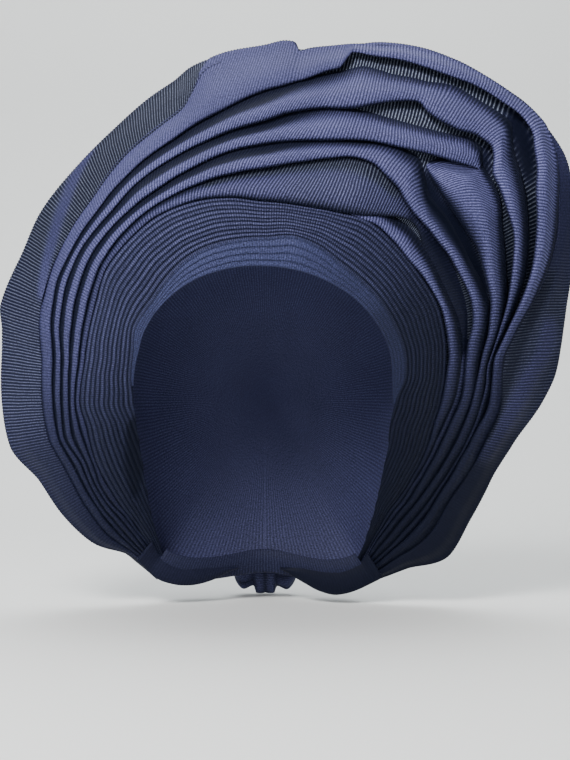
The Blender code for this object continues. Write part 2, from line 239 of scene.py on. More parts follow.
def through_rows(table_angles, values, angles):
    """Smooth curve through the rows of a table, with no bumps that the rows don't have."""
    x = np.asarray(table_angles, float)
    y = np.asarray(values, float)
    gaps = np.diff(x)
    slopes = np.diff(y) / gaps
    ends = np.empty_like(y)
    ends[0] = slopes[0]
    ends[-1] = slopes[-1]
    for n in range(1, len(x) - 1):
        before, after = slopes[n - 1], slopes[n]
        if before * after <= 0:
            ends[n] = 0.0
            continue
        first = 2 * gaps[n] + gaps[n - 1]
        second = gaps[n] + 2 * gaps[n - 1]
        ends[n] = (first + second) / (first / before + second / after)
    angles = np.clip(angles, x[0], x[-1])
    row = np.clip(np.searchsorted(x, angles, side="right") - 1, 0, len(x) - 2)
    t = (angles - x[row]) / gaps[row]
    rise = y[row + 1] - y[row]
    start, end = ends[row] * gaps[row], ends[row + 1] * gaps[row]
    return y[row] + t * (start + t * ((3 * rise - 2 * start - end) + t * (start + end - 2 * rise)))


def line(values, angles):
    """Radius in metres of a line that is told at even angles."""
    return through_rows(EVEN_ANGLES, values, angles) * STEP


print("edge at the top is", round(EDGE[EVEN_ANGLES.index(0)] * STEP * MM_IN_METRE), "mm above the middle")

# %% [markdown]
# ## Depth, and where a point goes
#
# The cloth leans back as it rises. This repeats the plain model's own rule, so that the new cloth lies
# where the plain one does. A point is then sent along the line of sight to its depth, which keeps the
# front view right however far forward or back the point lies.

# %% Depth and place
HEAD_HALF_LENGTH = 0.095
PLEAT_LEAN = 0.003
PLEAT_BULGE = 0.005
FAN_LEAN = 0.057
LEAN_CURVE = 1.2
FULL_PLEATS = 0.0375

# At the even angles: shares of how far the head reaches forward, and of the fan's lean
DEPTH = (0.58, 0.47, 0.37, 0.27, 0.18, 0.09, 0.00, -0.10, -0.20, -0.31, -0.42, -0.51, -0.59, -0.64,
         -0.67, -0.675, -0.67, -0.64, -0.59, -0.51, -0.42, -0.31, -0.20, -0.10, 0.00, 0.09, 0.18,
         0.27, 0.37, 0.47, 0.58)
LEAN = (0.06, 0.12, 0.18, 0.22, 0.27, 0.32, 0.39, 0.47, 0.56, 0.66, 0.76, 0.85, 0.92, 0.98, 1.00,
        1.00, 1.00, 0.98, 0.92, 0.85, 0.76, 0.66, 0.56, 0.47, 0.39, 0.32, 0.27, 0.22, 0.18, 0.12,
        0.06)


def cloth_depth(angles, radii):
    """Depth of the smooth cloth under the pleats and folds."""
    edge = line(EDGE, angles)
    pleat_line = line(PLEATS, angles)
    rim = line(RIM, angles)
    front = HEAD_HALF_LENGTH * through_rows(EVEN_ANGLES, DEPTH, angles)
    lean = FAN_LEAN * through_rows(EVEN_ANGLES, LEAN, angles)
    inner = np.clip((radii - edge) / (pleat_line - edge), 0, 1)
    bulge = PLEAT_BULGE * np.clip((pleat_line - edge) / FULL_PLEATS, 0, 1) * np.sin(np.pi * inner)
    outer = np.clip((radii - pleat_line) / (rim - pleat_line), 0, None)
    return front + PLEAT_LEAN * inner - bulge + lean * outer ** LEAN_CURVE


def place(angles, radii, depths):
    """Points that show at these angles and radii from the front, and lie at these depths."""
    spread = 1 + depths / VIEW_DISTANCE
    turn = np.radians(angles)
    x = VIEW_OFFSET + (radii * np.sin(turn) - VIEW_OFFSET) * spread
    z = VIEW_OFFSET + (radii * np.cos(turn) - VIEW_OFFSET) * spread
    return np.stack([x, depths, z], axis=-1)


def waves(angles, seed, count, slowest, fastest):
    """Gentle unevenness round the face, from -1 to 1, the same on every run."""
    source = np.random.default_rng(seed)
    total = np.zeros_like(angles)
    for n in range(count):
        speed = source.uniform(slowest, fastest)
        total += np.sin(np.radians(angles) * speed + source.uniform(0, 2 * np.pi))
    return total / count


top = np.array([0.0])
print("rim at the top lies", round(float(cloth_depth(top, line(RIM, top))[0]), 4), "m deep")

# %% [markdown]
# ## From a grid to a piece of cloth
#
# Every piece of cloth here is a grid of points: columns run round the face, rows run across the cloth.
# It could be cut and shaped by hand, but a grid keeps the ribs' map exact. The map holds one number along
# the cloth and one across it, in metres. A thin wall is added at the end, so that it is cloth, not a
# skin, and the points carry marks for light, sheerness and rib strength.

# %% Sheets from grids
CLOTH_WALL = 0.0009
NO_SLANT = 0.0
RIB_MAP = "ribs"
MARKS = ("shade", "sheer", "relief")


def set_map(mesh, along, across):
    """Write a piece's map for its ribs, from two numbers at every point."""
    corner_points = np.empty(len(mesh.loops), dtype=np.int32)
    mesh.loops.foreach_get("vertex_index", corner_points)
    ribs = np.stack([along.ravel(), across.ravel()], axis=-1)[corner_points]
    mesh.uv_layers[RIB_MAP].data.foreach_set("uv", ribs.ravel().astype(np.float32))


def set_marks(mesh, marks):
    """Write a piece's marks at its points."""
    for mark, values in marks.items():
        layer = mesh.attributes.new(mark, "FLOAT", "POINT")
        layer.data.foreach_set("value", values.ravel().astype(np.float32))


def sheet_piece(name, points, along, across, marks):
    """An open sheet of cloth from a grid of points, with its map and its marks."""
    rows, columns = points.shape[:2]
    index = np.arange(rows * columns).reshape(rows, columns)
    faces = np.stack([index[:-1, :-1], index[:-1, 1:], index[1:, 1:], index[1:, :-1]], axis=-1)
    mesh = bpy.data.meshes.new(name)
    mesh.from_pydata(points.reshape(-1, 3).tolist(), [], faces.reshape(-1, 4).tolist())
    mesh.update()
    mesh.uv_layers.new(name=RIB_MAP)
    set_map(mesh, along, across)
    set_marks(mesh, marks)
    piece = bpy.data.objects.new(name, mesh)
    bpy.context.scene.collection.objects.link(piece)
    return piece


def select_only(piece):
    """Select one piece and nothing else, so that an operator acts on it alone."""
    bpy.ops.object.select_all(action="DESELECT")
    bpy.context.view_layer.objects.active = piece
    piece.select_set(True)


def give_wall(piece, wall):
    """Turn an open sheet into cloth with two faces and closed edges."""
    solid = piece.modifiers.new("Wall", "SOLIDIFY")
    solid.thickness = wall
    solid.offset = -1.0
    select_only(piece)
    bpy.ops.object.modifier_apply(modifier="Wall")
    piece.select_set(False)
    piece.data.shade_smooth()


def mark_reverse(piece, values):
    """Give the reverse of a walled sheet its own marks. The wall's points come after the front's."""
    count = len(piece.data.vertices)
    for mark, value in values.items():
        layer = piece.data.attributes[mark]
        found = np.empty(count, dtype=np.float32)
        layer.data.foreach_get("value", found)
        found[count // 2:] = value
        layer.data.foreach_set("value", found)


def finish_sheet(name, points, along, across, marks, wall, material, reverse=None):
    """A finished piece of cloth: a sheet with its wall, the marks of its reverse, and its material."""
    piece = sheet_piece(name, points, along, across, marks)
    give_wall(piece, wall)
    if reverse:
        mark_reverse(piece, reverse)
    piece.data.materials.append(material)
    print(name, len(piece.data.polygons), "faces")
    return piece


def rib_map(points, skew):
    """Length along the fold at every point, turned by the ribs' slant, and length across the fold."""
    middle = points[points.shape[0] // 2]
    steps = np.linalg.norm(np.diff(middle, axis=0), axis=1)
    along = np.concatenate([[0.0], np.cumsum(steps)])
    rise = np.linalg.norm(np.diff(points, axis=0), axis=2)
    across = np.concatenate([np.zeros((1, points.shape[1])), np.cumsum(rise, axis=0)])
    across = across - across[points.shape[0] // 2]
    return along[None, :] - skew * across, across


print("cloth is", CLOTH_WALL * MM_IN_METRE, "mm thick, and its points carry", MARKS)

# %% [markdown]
# ## One fold of cloth
#
# A fold is a soft roll. Its lower edge curls under and throws a shadow on the fold below it, and its
# upper side slopes back under the next fold out. The outline below gives it in shares, so that one
# outline serves every fold, however wide or high it is.

# %% Outline of a roll
CURL_ROWS = 4
TUCK_ROWS = 3
CURL_TURN = 0.9
CURL_RISE = 0.7
TUCK = 0.0030
HOLLOW_START = 0.85
LEAST_CHANGE = 1e-6


def smooth(low, high, values):
    """0 below low, 1 above high, and a soft change between them."""
    share = np.clip((values - low) / np.maximum(high - low, LEAST_CHANGE), 0, 1)
    return share * share * (3 - 2 * share)


def roll_outline(rows, peak):
    """Outline of a roll in every column: share of its width, share of its rise, how far it is tucked."""
    width, rise, tuck = [], [], []
    lower = rows // 2
    for n in range(-CURL_ROWS, lower):
        turn = CURL_TURN * n / CURL_ROWS if n < 0 else math.pi / 2 * n / lower
        width.append(peak * (1 - math.cos(turn)))
        rise.append(np.full_like(peak, math.sin(turn) * (CURL_RISE if n < 0 else 1.0)))
        tuck.append(0.0)
    for n in range(rows - lower + 1):
        share = n / (rows - lower)
        drop = min(share / HOLLOW_START, 1.0)
        width.append(peak + (1 - peak) * share)
        rise.append(np.full_like(peak, 1 - drop * drop * (3 - 2 * drop)))
        tuck.append(0.0)
    for n in range(1, TUCK_ROWS + 1):
        width.append(np.ones_like(peak))
        rise.append(np.zeros_like(peak))
        tuck.append(n / TUCK_ROWS)
    return np.array(width), np.array(rise), np.array(tuck)[:, None]


print("a roll goes on", round(TUCK * MM_IN_METRE, 1), "mm under the next fold")

# %% [markdown]
# ## The lines of each fold
#
# Each table has a row for each angle: where the fold's bottom and top show, how high it rises as a
# share of its width, how far it is lifted off the plain cloth in millimetres, and how much its ribs
# slant. Where a fold ends in a sharp corner the rows lie closer together.

# %% Tables of the inner folds
FOLD_COLUMNS = ("angle", "bottom", "top", "rise", "lift", "slant")

# The broad lowest fold, next to the fine pleats
FOLD_1 = (
    (-150, 196, 198, 0.40, 0.0, 0.0), (-140, 184, 187, 0.40, 0.0, 0.0),
    (-130, 179, 183, 0.40, 0.0, 0.0), (-120, 179, 186, 0.40, 0.0, 0.0),
    (-110, 180, 184, 0.40, 0.0, 0.0), (-100, 180, 187, 0.42, 0.0, 0.0),
    (-90, 185, 190, 0.42, 0.0, 0.0), (-80, 184, 190, 0.42, 0.0, 0.0),
    (-70, 188, 195, 0.42, 0.0, 0.0), (-60, 195, 203, 0.42, 0.0, 0.0),
    (-50, 206, 213, 0.42, 0.0, 0.1), (-40, 210, 219, 0.42, 0.0, 0.1),
    (-30, 213, 223, 0.42, 0.0, 0.2), (-20, 211, 225, 0.40, 0.0, 0.3),
    (-10, 206, 228, 0.32, 0.0, 0.4), (0, 199, 232, 0.26, 0.0, 0.4),
    (10, 198, 243, 0.22, 0.0, 0.3), (20, 201, 258, 0.20, 0.0, 0.0),
    (24, 204, 262, 0.20, 0.0, -0.1), (28, 209, 256, 0.20, 0.0, -0.1),
    (33, 219, 247, 0.20, 0.0, -0.1), (37, 228, 241, 0.20, -0.5, 0.0),
    (40, 230, 237, 0.20, -1.5, 0.0), (48, 216, 235, 0.15, -3.0, 0.2),
    (55, 210, 231, 0.15, -3.0, 0.3), (62, 207, 229.5, 0.15, -3.0, 0.3),
    (67, 206, 225, 0.15, -3.0, 0.3), (71, 204, 218, 0.15, -3.0, 0.2),
    (75, 201, 209.5, 0.20, -2.0, 0.1), (81, 197, 203, 0.35, -1.0, 0.1),
    (88, 191, 197, 0.40, 0.0, 0.0), (100, 178, 184, 0.42, 0.0, 0.0),
    (110, 173, 178, 0.42, 0.0, 0.0), (120, 170, 175, 0.42, 0.0, 0.0),
    (130, 170, 175, 0.42, 0.0, 0.0), (140, 176, 179, 0.42, 0.0, 0.0),
    (150, 189.5, 191, 0.42, 0.0, 0.0),
)

# The inner roll on the right, between the fine pleats and the lowest fold
INNER_ROLL = (
    (24, 203, 205, 0.30, -0.5, -0.3), (28, 205, 211, 0.35, 0.0, -0.3),
    (33, 207, 219, 0.40, 0.0, -0.3), (39, 204, 220, 0.42, 0.5, -0.2),
    (45, 200.5, 217, 0.42, 1.0, 0.0), (50, 200, 214, 0.42, 1.0, 0.2),
    (56, 199.5, 210, 0.42, 1.0, 0.3), (62, 198.5, 207.5, 0.42, 1.0, 0.3),
    (67, 195, 206, 0.42, 1.0, 0.2), (71, 193, 204.5, 0.42, 1.0, 0.2),
    (75, 190, 202, 0.42, 1.0, 0.1), (81, 184, 197.5, 0.42, 0.5, 0.1),
    (88, 178, 191.5, 0.42, 0.5, 0.0), (100, 170, 178.5, 0.42, 0.0, 0.0),
    (110, 168, 173.5, 0.42, 0.0, 0.0), (120, 166, 170.5, 0.42, 0.0, 0.0),
    (130, 166, 170.5, 0.42, 0.0, 0.0), (140, 173, 176, 0.42, 0.0, 0.0),
    (150, 188, 189.5, 0.42, 0.0, 0.0),
)

FOLD_2 = (
    (-150, 198, 200, 0.40, 0.0, 0.0), (-140, 187, 191, 0.40, 0.0, 0.0),
    (-130, 183, 188, 0.40, 0.0, 0.0), (-120, 186, 190, 0.40, 0.0, 0.0),
    (-110, 184, 190, 0.42, 0.0, 0.0), (-100, 187, 196, 0.42, 0.0, 0.0),
    (-90, 190, 196, 0.42, 0.0, 0.0), (-80, 190, 199, 0.42, 0.0, 0.0),
    (-70, 195, 206, 0.42, 0.0, 0.0), (-60, 203, 216, 0.42, 0.0, 0.0),
    (-50, 213, 226, 0.42, 0.0, 0.1), (-40, 219, 231, 0.42, 0.0, 0.2),
    (-30, 223, 235, 0.42, 0.0, 0.3), (-20, 225, 241, 0.42, 0.0, 0.4),
    (-10, 228, 249, 0.40, 0.5, 0.4), (0, 232, 256, 0.36, 1.0, 0.5),
    (8, 240, 262, 0.36, 1.0, 0.4), (15, 250, 268, 0.38, 1.0, 0.2),
    (20, 258, 273, 0.40, 1.0, 0.1), (24, 260, 280, 0.40, 1.0, 0.1),
    (28, 255, 284, 0.38, 1.0, 0.1), (32, 250, 284, 0.36, 1.5, 0.1),
    (35, 243, 274, 0.38, 1.5, 0.2), (39, 238, 259, 0.42, 1.5, 0.3),
    (46, 235, 254, 0.42, 1.5, 0.4), (52, 233, 248, 0.42, 1.5, 0.4),
    (59, 230.5, 243.5, 0.42, 1.5, 0.4), (64, 228.5, 242.5, 0.42, 1.0, 0.3),
    (67, 225, 240.5, 0.42, 1.0, 0.3), (71, 218, 233.5, 0.42, 0.5, 0.2),
    (75, 209.5, 225, 0.42, 0.5, 0.2), (81, 202.5, 215.5, 0.42, 0.0, 0.1),
    (88, 197, 210, 0.42, 0.0, 0.0), (100, 184, 197, 0.42, 0.0, 0.0),
    (110, 178, 189, 0.42, 0.0, 0.0), (120, 175, 184, 0.42, 0.0, 0.0),
    (130, 175, 182, 0.42, 0.0, 0.0), (140, 179, 185, 0.42, 0.0, 0.0),
    (150, 191, 194, 0.42, 0.0, 0.0),
)

print("inner folds:", [len(table) for table in (FOLD_1, INNER_ROLL, FOLD_2)], "rows")

# %% [markdown]
# ## The folds in the middle of the fan
#
# The third fold climbs to the right and ends at a corner. There the cloth turns downwards and goes on as
# a big lobe. The fourth fold passes over both. A table could be drawn as a curve in the viewport, but
# numbers are easier to set against each other: one fold's top is the next one's bottom.

# %% Tables of the middle folds
FOLD_3 = (
    (-150, 200, 201.5, 0.40, 0.0, 0.0), (-140, 191, 195, 0.40, 0.0, 0.0),
    (-130, 188, 194, 0.40, 0.0, 0.0), (-120, 190, 195, 0.40, 0.0, 0.0),
    (-110, 190, 195, 0.42, 0.0, 0.0), (-100, 196, 204, 0.42, 0.0, 0.0),
    (-90, 196, 204, 0.42, 0.0, 0.0), (-80, 199, 207, 0.42, 0.0, 0.0),
    (-70, 206, 218, 0.42, 0.0, 0.0), (-60, 216, 229, 0.42, 0.0, 0.0),
    (-50, 226, 238, 0.42, 0.0, 0.1), (-40, 231, 242, 0.42, 0.0, 0.2),
    (-30, 235, 252, 0.42, 0.0, 0.3), (-20, 241, 259, 0.42, 0.0, 0.4),
    (-10, 249, 268, 0.42, 0.5, 0.4), (0, 256, 279, 0.40, 1.0, 0.5),
    (6, 260.5, 289, 0.36, 1.0, 0.5), (12, 265, 298, 0.34, 1.0, 0.2),
    (18, 273, 301, 0.34, 1.5, 0.0), (23, 280, 303, 0.36, 2.0, -0.1),
    (28, 286, 308, 0.38, 2.0, -0.3), (33, 294, 316, 0.40, 2.5, -0.4), (36, 299, 323, 0.40, 2.5, -0.4),
    (38.5, 304, 329, 0.40, 2.5, -0.4), (40.5, 309, 329, 0.38, 2.5, -0.3),
    (42, 313, 322, 0.35, 2.5, -0.2), (43, 315, 317, 0.30, 2.0, 0.0),
)

# The big lobe on the right, where the third fold turns downwards
LOBE = (
    (34.5, 284, 287, 0.20, 0.0, 0.3), (35.5, 280, 291, 0.25, 1.0, 0.4),
    (37, 276, 299, 0.28, 1.5, 0.55), (39, 273, 306, 0.30, 2.0, 0.65),
    (41, 270, 313, 0.30, 2.0, 0.7), (43, 268, 317, 0.30, 2.0, 0.7),
    (45, 266, 314, 0.30, 2.0, 0.7), (49, 263, 307, 0.32, 2.0, 0.7),
    (54, 260.5, 289, 0.38, 2.0, 0.6), (59, 254, 276, 0.42, 2.0, 0.5),
    (62.5, 250, 268, 0.42, 2.0, 0.4), (66, 246.5, 261, 0.42, 1.5, 0.3),
    (70, 239, 251.5, 0.42, 1.5, 0.2), (74, 231, 241, 0.42, 1.0, 0.1),
    (77.5, 223, 231, 0.42, 1.0, 0.1), (82, 216, 222.5, 0.42, 0.5, 0.0),
    (86, 211, 219.5, 0.42, 0.0, 0.0), (100, 197, 207, 0.42, 0.0, 0.0),
    (110, 189, 198, 0.42, 0.0, 0.0), (120, 184, 193, 0.42, 0.0, 0.0),
    (130, 182, 191, 0.42, 0.0, 0.0), (140, 185, 192, 0.42, 0.0, 0.0),
    (150, 194, 197, 0.42, 0.0, 0.0),
)

FOLD_4 = (
    (-150, 201.5, 203, 0.40, 0.0, 0.0), (-140, 195, 198, 0.40, 0.0, 0.0),
    (-130, 194, 199, 0.40, 0.0, 0.0), (-120, 195, 200, 0.40, 0.0, 0.0),
    (-110, 195, 202, 0.42, 0.0, 0.0), (-100, 204, 210, 0.42, 0.0, 0.0),
    (-90, 204, 212, 0.42, 0.0, 0.0), (-80, 207, 215, 0.42, 0.0, 0.0),
    (-70, 218, 227, 0.42, 0.0, 0.0), (-60, 229, 239, 0.42, 0.0, 0.0),
    (-50, 238, 246, 0.42, 0.0, 0.1), (-40, 242, 254, 0.42, 0.0, 0.2),
    (-30, 252, 265, 0.42, 0.0, 0.3), (-20, 259, 275, 0.42, 0.0, 0.4),
    (-10, 268, 290, 0.42, 0.5, 0.4), (0, 279, 309, 0.38, 1.5, 0.5),
    (5, 288, 319, 0.36, 1.5, 0.5), (11, 297, 330, 0.34, 1.5, 0.3),
    (14, 300, 337, 0.32, 2.0, 0.1), (17, 305, 345, 0.30, 2.5, 0.0),
    (21, 317, 346, 0.34, 3.0, -0.1), (24.5, 328, 350.5, 0.38, 3.0, -0.1),
    (27.5, 335, 355, 0.40, 3.0, -0.1), (29, 331, 359, 0.36, 3.0, -0.1),
    (31.5, 329, 363.5, 0.32, 3.0, 0.0), (35, 331, 364.5, 0.32, 3.5, 0.0),
    (39, 339, 367, 0.36, 3.5, 0.1), (41.5, 339.5, 368, 0.36, 3.5, 0.2),
    (43, 334, 360, 0.40, 3.5, 0.4), (45.2, 320, 347.5, 0.42, 3.5, 0.6),
    (48, 315, 338.5, 0.42, 3.5, 0.7), (52, 307, 327, 0.42, 3.5, 0.7),
    (56, 299, 313.5, 0.42, 3.0, 0.6), (60, 286, 300, 0.42, 3.0, 0.5),
    (64, 273, 287, 0.42, 2.5, 0.4), (69.4, 256.8, 265, 0.42, 2.0, 0.3),
    (73, 245.5, 251.5, 0.42, 1.5, 0.2), (77, 234.5, 237.5, 0.42, 1.0, 0.1),
    (82, 224, 227.5, 0.42, 0.5, 0.0), (86.5, 220.5, 224.5, 0.42, 0.0, 0.0),
    (100, 207, 211, 0.42, 0.0, 0.0), (110, 198, 202, 0.42, 0.0, 0.0),
    (120, 193, 198, 0.42, 0.0, 0.0), (130, 191, 198, 0.42, 0.0, 0.0),
    (140, 192, 197, 0.42, 0.0, 0.0), (150, 197, 200, 0.42, 0.0, 0.0),
)

print("middle folds:", [len(table) for table in (FOLD_3, LOBE, FOLD_4)], "rows")

# %% [markdown]
# ## The outermost fold and the sheer sheet
#
# The outermost fold is broad and almost flat in the middle, and rolls over at its corner on the right.
# The sheer sheet stands up behind it and ends in the rim. A last helper reads any of the tables at any
# angle.

# %% Tables of the outer folds
FOLD_5 = (
    (-150, 203, 204.5, 0.40, 0.0, 0.0), (-140, 198, 201.5, 0.40, 0.0, 0.0),
    (-130, 199, 208, 0.36, 0.0, 0.0), (-120, 200, 209, 0.36, 0.0, 0.0),
    (-110, 202, 211, 0.38, 0.0, 0.0), (-100, 210, 220, 0.38, 0.0, 0.0),
    (-90, 212, 223, 0.38, 0.0, 0.0), (-80, 215, 227, 0.38, 0.0, 0.0),
    (-70, 227, 240, 0.38, 0.0, 0.0), (-60, 239, 249, 0.40, 0.0, 0.0),
    (-50, 246, 257, 0.42, 0.0, 0.1), (-40, 254, 266, 0.42, 0.0, 0.2),
    (-30, 265, 281, 0.42, 0.0, 0.3), (-24, 271, 290.5, 0.42, 0.0, 0.4),
    (-20, 275, 298, 0.40, 0.0, 0.4), (-16, 281, 306, 0.38, 0.0, 0.4),
    (-12.5, 286, 326, 0.28, 0.5, 0.4), (-10.4, 289, 340, 0.22, 1.0, 0.4),
    (-9, 291.5, 346.5, 0.18, 1.0, 0.4), (0, 309, 355, 0.18, 2.0, 0.25),
    (3.5, 315, 360, 0.18, 2.0, 0.15), (4.6, 317.5, 359.5, 0.18, 2.0, 0.12),
    (5.6, 320, 350.5, 0.22, 2.0, 0.1), (7, 323, 354, 0.22, 2.5, 0.1),
    (11, 335, 361, 0.28, 3.0, 0.1), (13, 341, 365, 0.30, 3.5, 0.05), (14, 358, 367, 0.40, 4.0, 0.0),
    (18, 361, 373, 0.40, 4.0, -0.1), (21, 364.5, 379, 0.40, 4.0, -0.2),
    (26.5, 369.5, 387, 0.40, 4.0, -0.2), (30, 373, 390.5, 0.40, 4.0, -0.2),
    (34, 378, 392, 0.40, 4.0, -0.2), (38, 380.5, 393.5, 0.40, 4.0, -0.1),
    (41.5, 382.5, 395, 0.40, 4.0, 0.0), (44.8, 378, 394, 0.42, 4.0, 0.2),
    (47, 367.5, 390, 0.42, 4.0, 0.4), (49.5, 357, 382, 0.42, 4.0, 0.6),
    (52, 343, 371, 0.42, 4.0, 0.7), (56.5, 325.5, 350, 0.40, 4.0, 0.7),
    (60, 311.5, 334.5, 0.40, 3.5, 0.6),
    (64, 296, 316, 0.40, 3.5, 0.5), (67, 282.5, 300, 0.40, 3.0, 0.4),
    (70, 268.5, 284.5, 0.42, 2.5, 0.3), (73, 255.5, 268, 0.42, 2.0, 0.2),
    (77, 241, 252, 0.42, 1.5, 0.1), (80, 232.5, 243, 0.42, 1.0, 0.1),
    (85, 227.5, 238, 0.42, 0.5, 0.0), (90, 224.5, 236.5, 0.42, 0.0, 0.0),
    (100, 211, 225, 0.40, 0.0, 0.0), (110, 202, 216, 0.40, 0.0, 0.0),
    (120, 198, 210, 0.40, 0.0, 0.0), (130, 198, 212, 0.40, 0.0, 0.0),
    (140, 197, 206, 0.40, 0.0, 0.0), (150, 200, 204, 0.42, 0.0, 0.0),
)

# The sheer outer sheet, from the top of the outermost fold to the rim
RIM_SHEET = (
    (-150, 204.5, 207, 0.40, 0.0, 0.0), (-140, 201.5, 205.5, 0.35, 0.0, 0.0),
    (-130, 208, 223, 0.25, 0.0, 0.0), (-120, 209, 232, 0.20, 0.0, 0.0),
    (-110, 211, 239, 0.16, 0.0, 0.0), (-100, 220, 259, 0.12, 0.0, 0.0),
    (-90, 223, 263, 0.10, 0.0, 0.0), (-80, 227, 267, 0.10, 0.0, 0.0),
    (-75, 233, 272, 0.10, 0.0, 0.0), (-70, 240, 281, 0.10, 0.0, 0.0),
    (-60, 249, 283, 0.12, 0.0, 0.0), (-50, 257, 292.5, 0.12, 0.0, 0.0),
    (-40, 266, 299, 0.12, 0.0, 0.1), (-30, 281, 309, 0.12, 0.0, 0.2),
    (-20, 294, 325, 0.10, 0.0, 0.2), (-16, 302, 331.5, 0.10, 0.0, 0.2),
    (-12.5, 320, 341, 0.10, 0.0, 0.2), (-10, 334, 344.5, 0.06, 0.0, 0.3),
    (-8, 338, 346, 0.06, 0.0, 0.3), (0, 342, 353, 0.06, 0.0, 0.3), (4, 348, 358, 0.06, 0.0, 0.3),
    (5.5, 340, 348.5, 0.06, 0.0, 0.3), (7, 344, 352, 0.06, 0.0, 0.3),
    (12, 352, 360, 0.06, 1.0, 0.2), (18, 371.5, 376, 0.06, 2.0, 0.0),
    (26.5, 383.5, 388, 0.06, 2.0, 0.0), (34, 390, 392, 0.06, 2.0, 0.0),
    (42, 392, 394, 0.06, 2.0, 0.0), (47, 383.5, 391, 0.06, 1.0, 0.2),
    (50, 375, 388, 0.08, 0.0, 0.4), (56.5, 351, 370, 0.10, 0.0, 0.5),
    (60, 337, 358, 0.10, 0.0, 0.5), (64, 316, 341, 0.10, 0.0, 0.4),
    (68.5, 292, 328, 0.10, 0.0, 0.3), (72.7, 269.5, 315.5, 0.10, 0.0, 0.2),
    (76.6, 253, 306.5, 0.10, 0.0, 0.1), (80, 243, 300, 0.10, 0.0, 0.1),
    (85, 238, 291, 0.10, 0.0, 0.0), (90, 236.5, 278, 0.12, 0.0, 0.0),
    (100, 225, 251.5, 0.14, 0.0, 0.0), (110, 216, 239, 0.16, 0.0, 0.0),
    (120, 210, 237, 0.18, 0.0, 0.0), (130, 212, 240.5, 0.18, 0.0, 0.0),
    (140, 206, 220, 0.25, 0.0, 0.0), (150, 204, 209.5, 0.40, 0.0, 0.0),
)


def table_line(table, column, angles):
    """One column of a table at any angles, smoothly between its rows."""
    rows = np.array(table, float)
    return through_rows(rows[:, 0], rows[:, column], angles)


def fold_values(table, angles):
    """Columns of a fold's table at any angles: radii in metres, lift in metres, the rest as shares."""
    found = {name: table_line(table, number, angles) for number, name in enumerate(FOLD_COLUMNS)}
    found["bottom"] = found["bottom"] * STEP
    found["top"] = found["top"] * STEP
    found["lift"] = found["lift"] / MM_IN_METRE
    return found


print("outer folds:", [len(table) for table in (FOLD_5, RIM_SHEET)], "rows")

# %% [markdown]
# ## The cloth's finish
#
# The cloth is woven with raised ribs, close together, that run across every fold. Between them it is
# thin, so that where the cloth stands alone it looks darker with pale ribs. The ribs are a wave on the
# map of each piece. The wave colours the cloth, pale on a rib and dark beside it, and also drives a
# bump, so that light catches it. One node group makes the wave, and every cloth here uses it.

# %% Rib group
FOLD_SPACING = 0.0018
WOBBLE = 0.0012
WOBBLE_SCALE = 60.0
PATCH_SCALE = 28.0
PATCH_DETAIL = 5.0
FLECK_SCALE = 1100.0
FINE_DETAIL = 2.0

# The group's inputs, with the values that they start from
RIB_INPUTS = (
    ("Rib Spacing", FOLD_SPACING), ("Yarn Spacing", FOLD_SPACING / 2), ("Unevenness", 0.4), ("Flecks", 3.0),
)


def math_node(tree, operation, first, second=None, third=None, clamp=False):
    """A sum of up to three values, each a number or a socket."""
    node = tree.nodes.new("ShaderNodeMath")
    node.operation = operation
    node.use_clamp = clamp
    for socket, value in zip(node.inputs, (first, second, third)):
        if value is None:
            continue
        if isinstance(value, (int, float)):
            socket.default_value = value
        else:
            tree.links.new(value, socket)
    return node.outputs[0]


def noise(tree, vector, scale, detail):
    """Soft noise on both sides of zero."""
    node = tree.nodes.new("ShaderNodeTexNoise")
    node.inputs["Scale"].default_value = scale
    node.inputs["Detail"].default_value = detail
    tree.links.new(vector, node.inputs["Vector"])
    return math_node(tree, "SUBTRACT", node.outputs["Fac"], 0.5)


def wave(tree, length, spacing):
    """A wave from 0 to 1 along a length."""
    turns = math_node(tree, "DIVIDE", length, spacing)
    swing = math_node(tree, "SINE", math_node(tree, "MULTIPLY", turns, 2 * math.pi))
    return math_node(tree, "MULTIPLY_ADD", swing, 0.5, 0.5)


def make_rib_group():
    """Ribs, fine yarns and unevenness of the woven cloth."""
    group = bpy.data.node_groups.new("ribbed_weave", "ShaderNodeTree")
    for name, value in RIB_INPUTS:
        socket = group.interface.new_socket(name=name, in_out="INPUT", socket_type="NodeSocketFloat")
        socket.default_value = value
    for name in ("Rib", "Yarn", "Tone"):
        group.interface.new_socket(name=name, in_out="OUTPUT", socket_type="NodeSocketFloat")
    start = group.nodes.new("NodeGroupInput")
    end = group.nodes.new("NodeGroupOutput")
    uv = group.nodes.new("ShaderNodeUVMap")
    uv.uv_map = RIB_MAP
    split = group.nodes.new("ShaderNodeSeparateXYZ")
    group.links.new(uv.outputs["UV"], split.inputs[0])
    wobble = noise(group, uv.outputs["UV"], WOBBLE_SCALE, FINE_DETAIL)
    along = math_node(group, "ADD", split.outputs["X"], math_node(group, "MULTIPLY", wobble, WOBBLE))
    group.links.new(wave(group, along, start.outputs["Rib Spacing"]), end.inputs["Rib"])
    group.links.new(wave(group, split.outputs["Y"], start.outputs["Yarn Spacing"]), end.inputs["Yarn"])
    where = group.nodes.new("ShaderNodeTexCoord")
    patches = noise(group, where.outputs["Object"], PATCH_SCALE, PATCH_DETAIL)
    flecks = noise(group, uv.outputs["UV"], FLECK_SCALE, FINE_DETAIL)
    patchy = math_node(group, "MULTIPLY", patches, start.outputs["Unevenness"])
    flecked = math_node(group, "MULTIPLY", flecks, start.outputs["Flecks"])
    tone = math_node(group, "ADD", math_node(group, "ADD", patchy, flecked), 1.0)
    group.links.new(tone, end.inputs["Tone"])
    return group


rib_group = make_rib_group()
print("node group:", rib_group.name, "with", len(rib_group.nodes), "nodes")
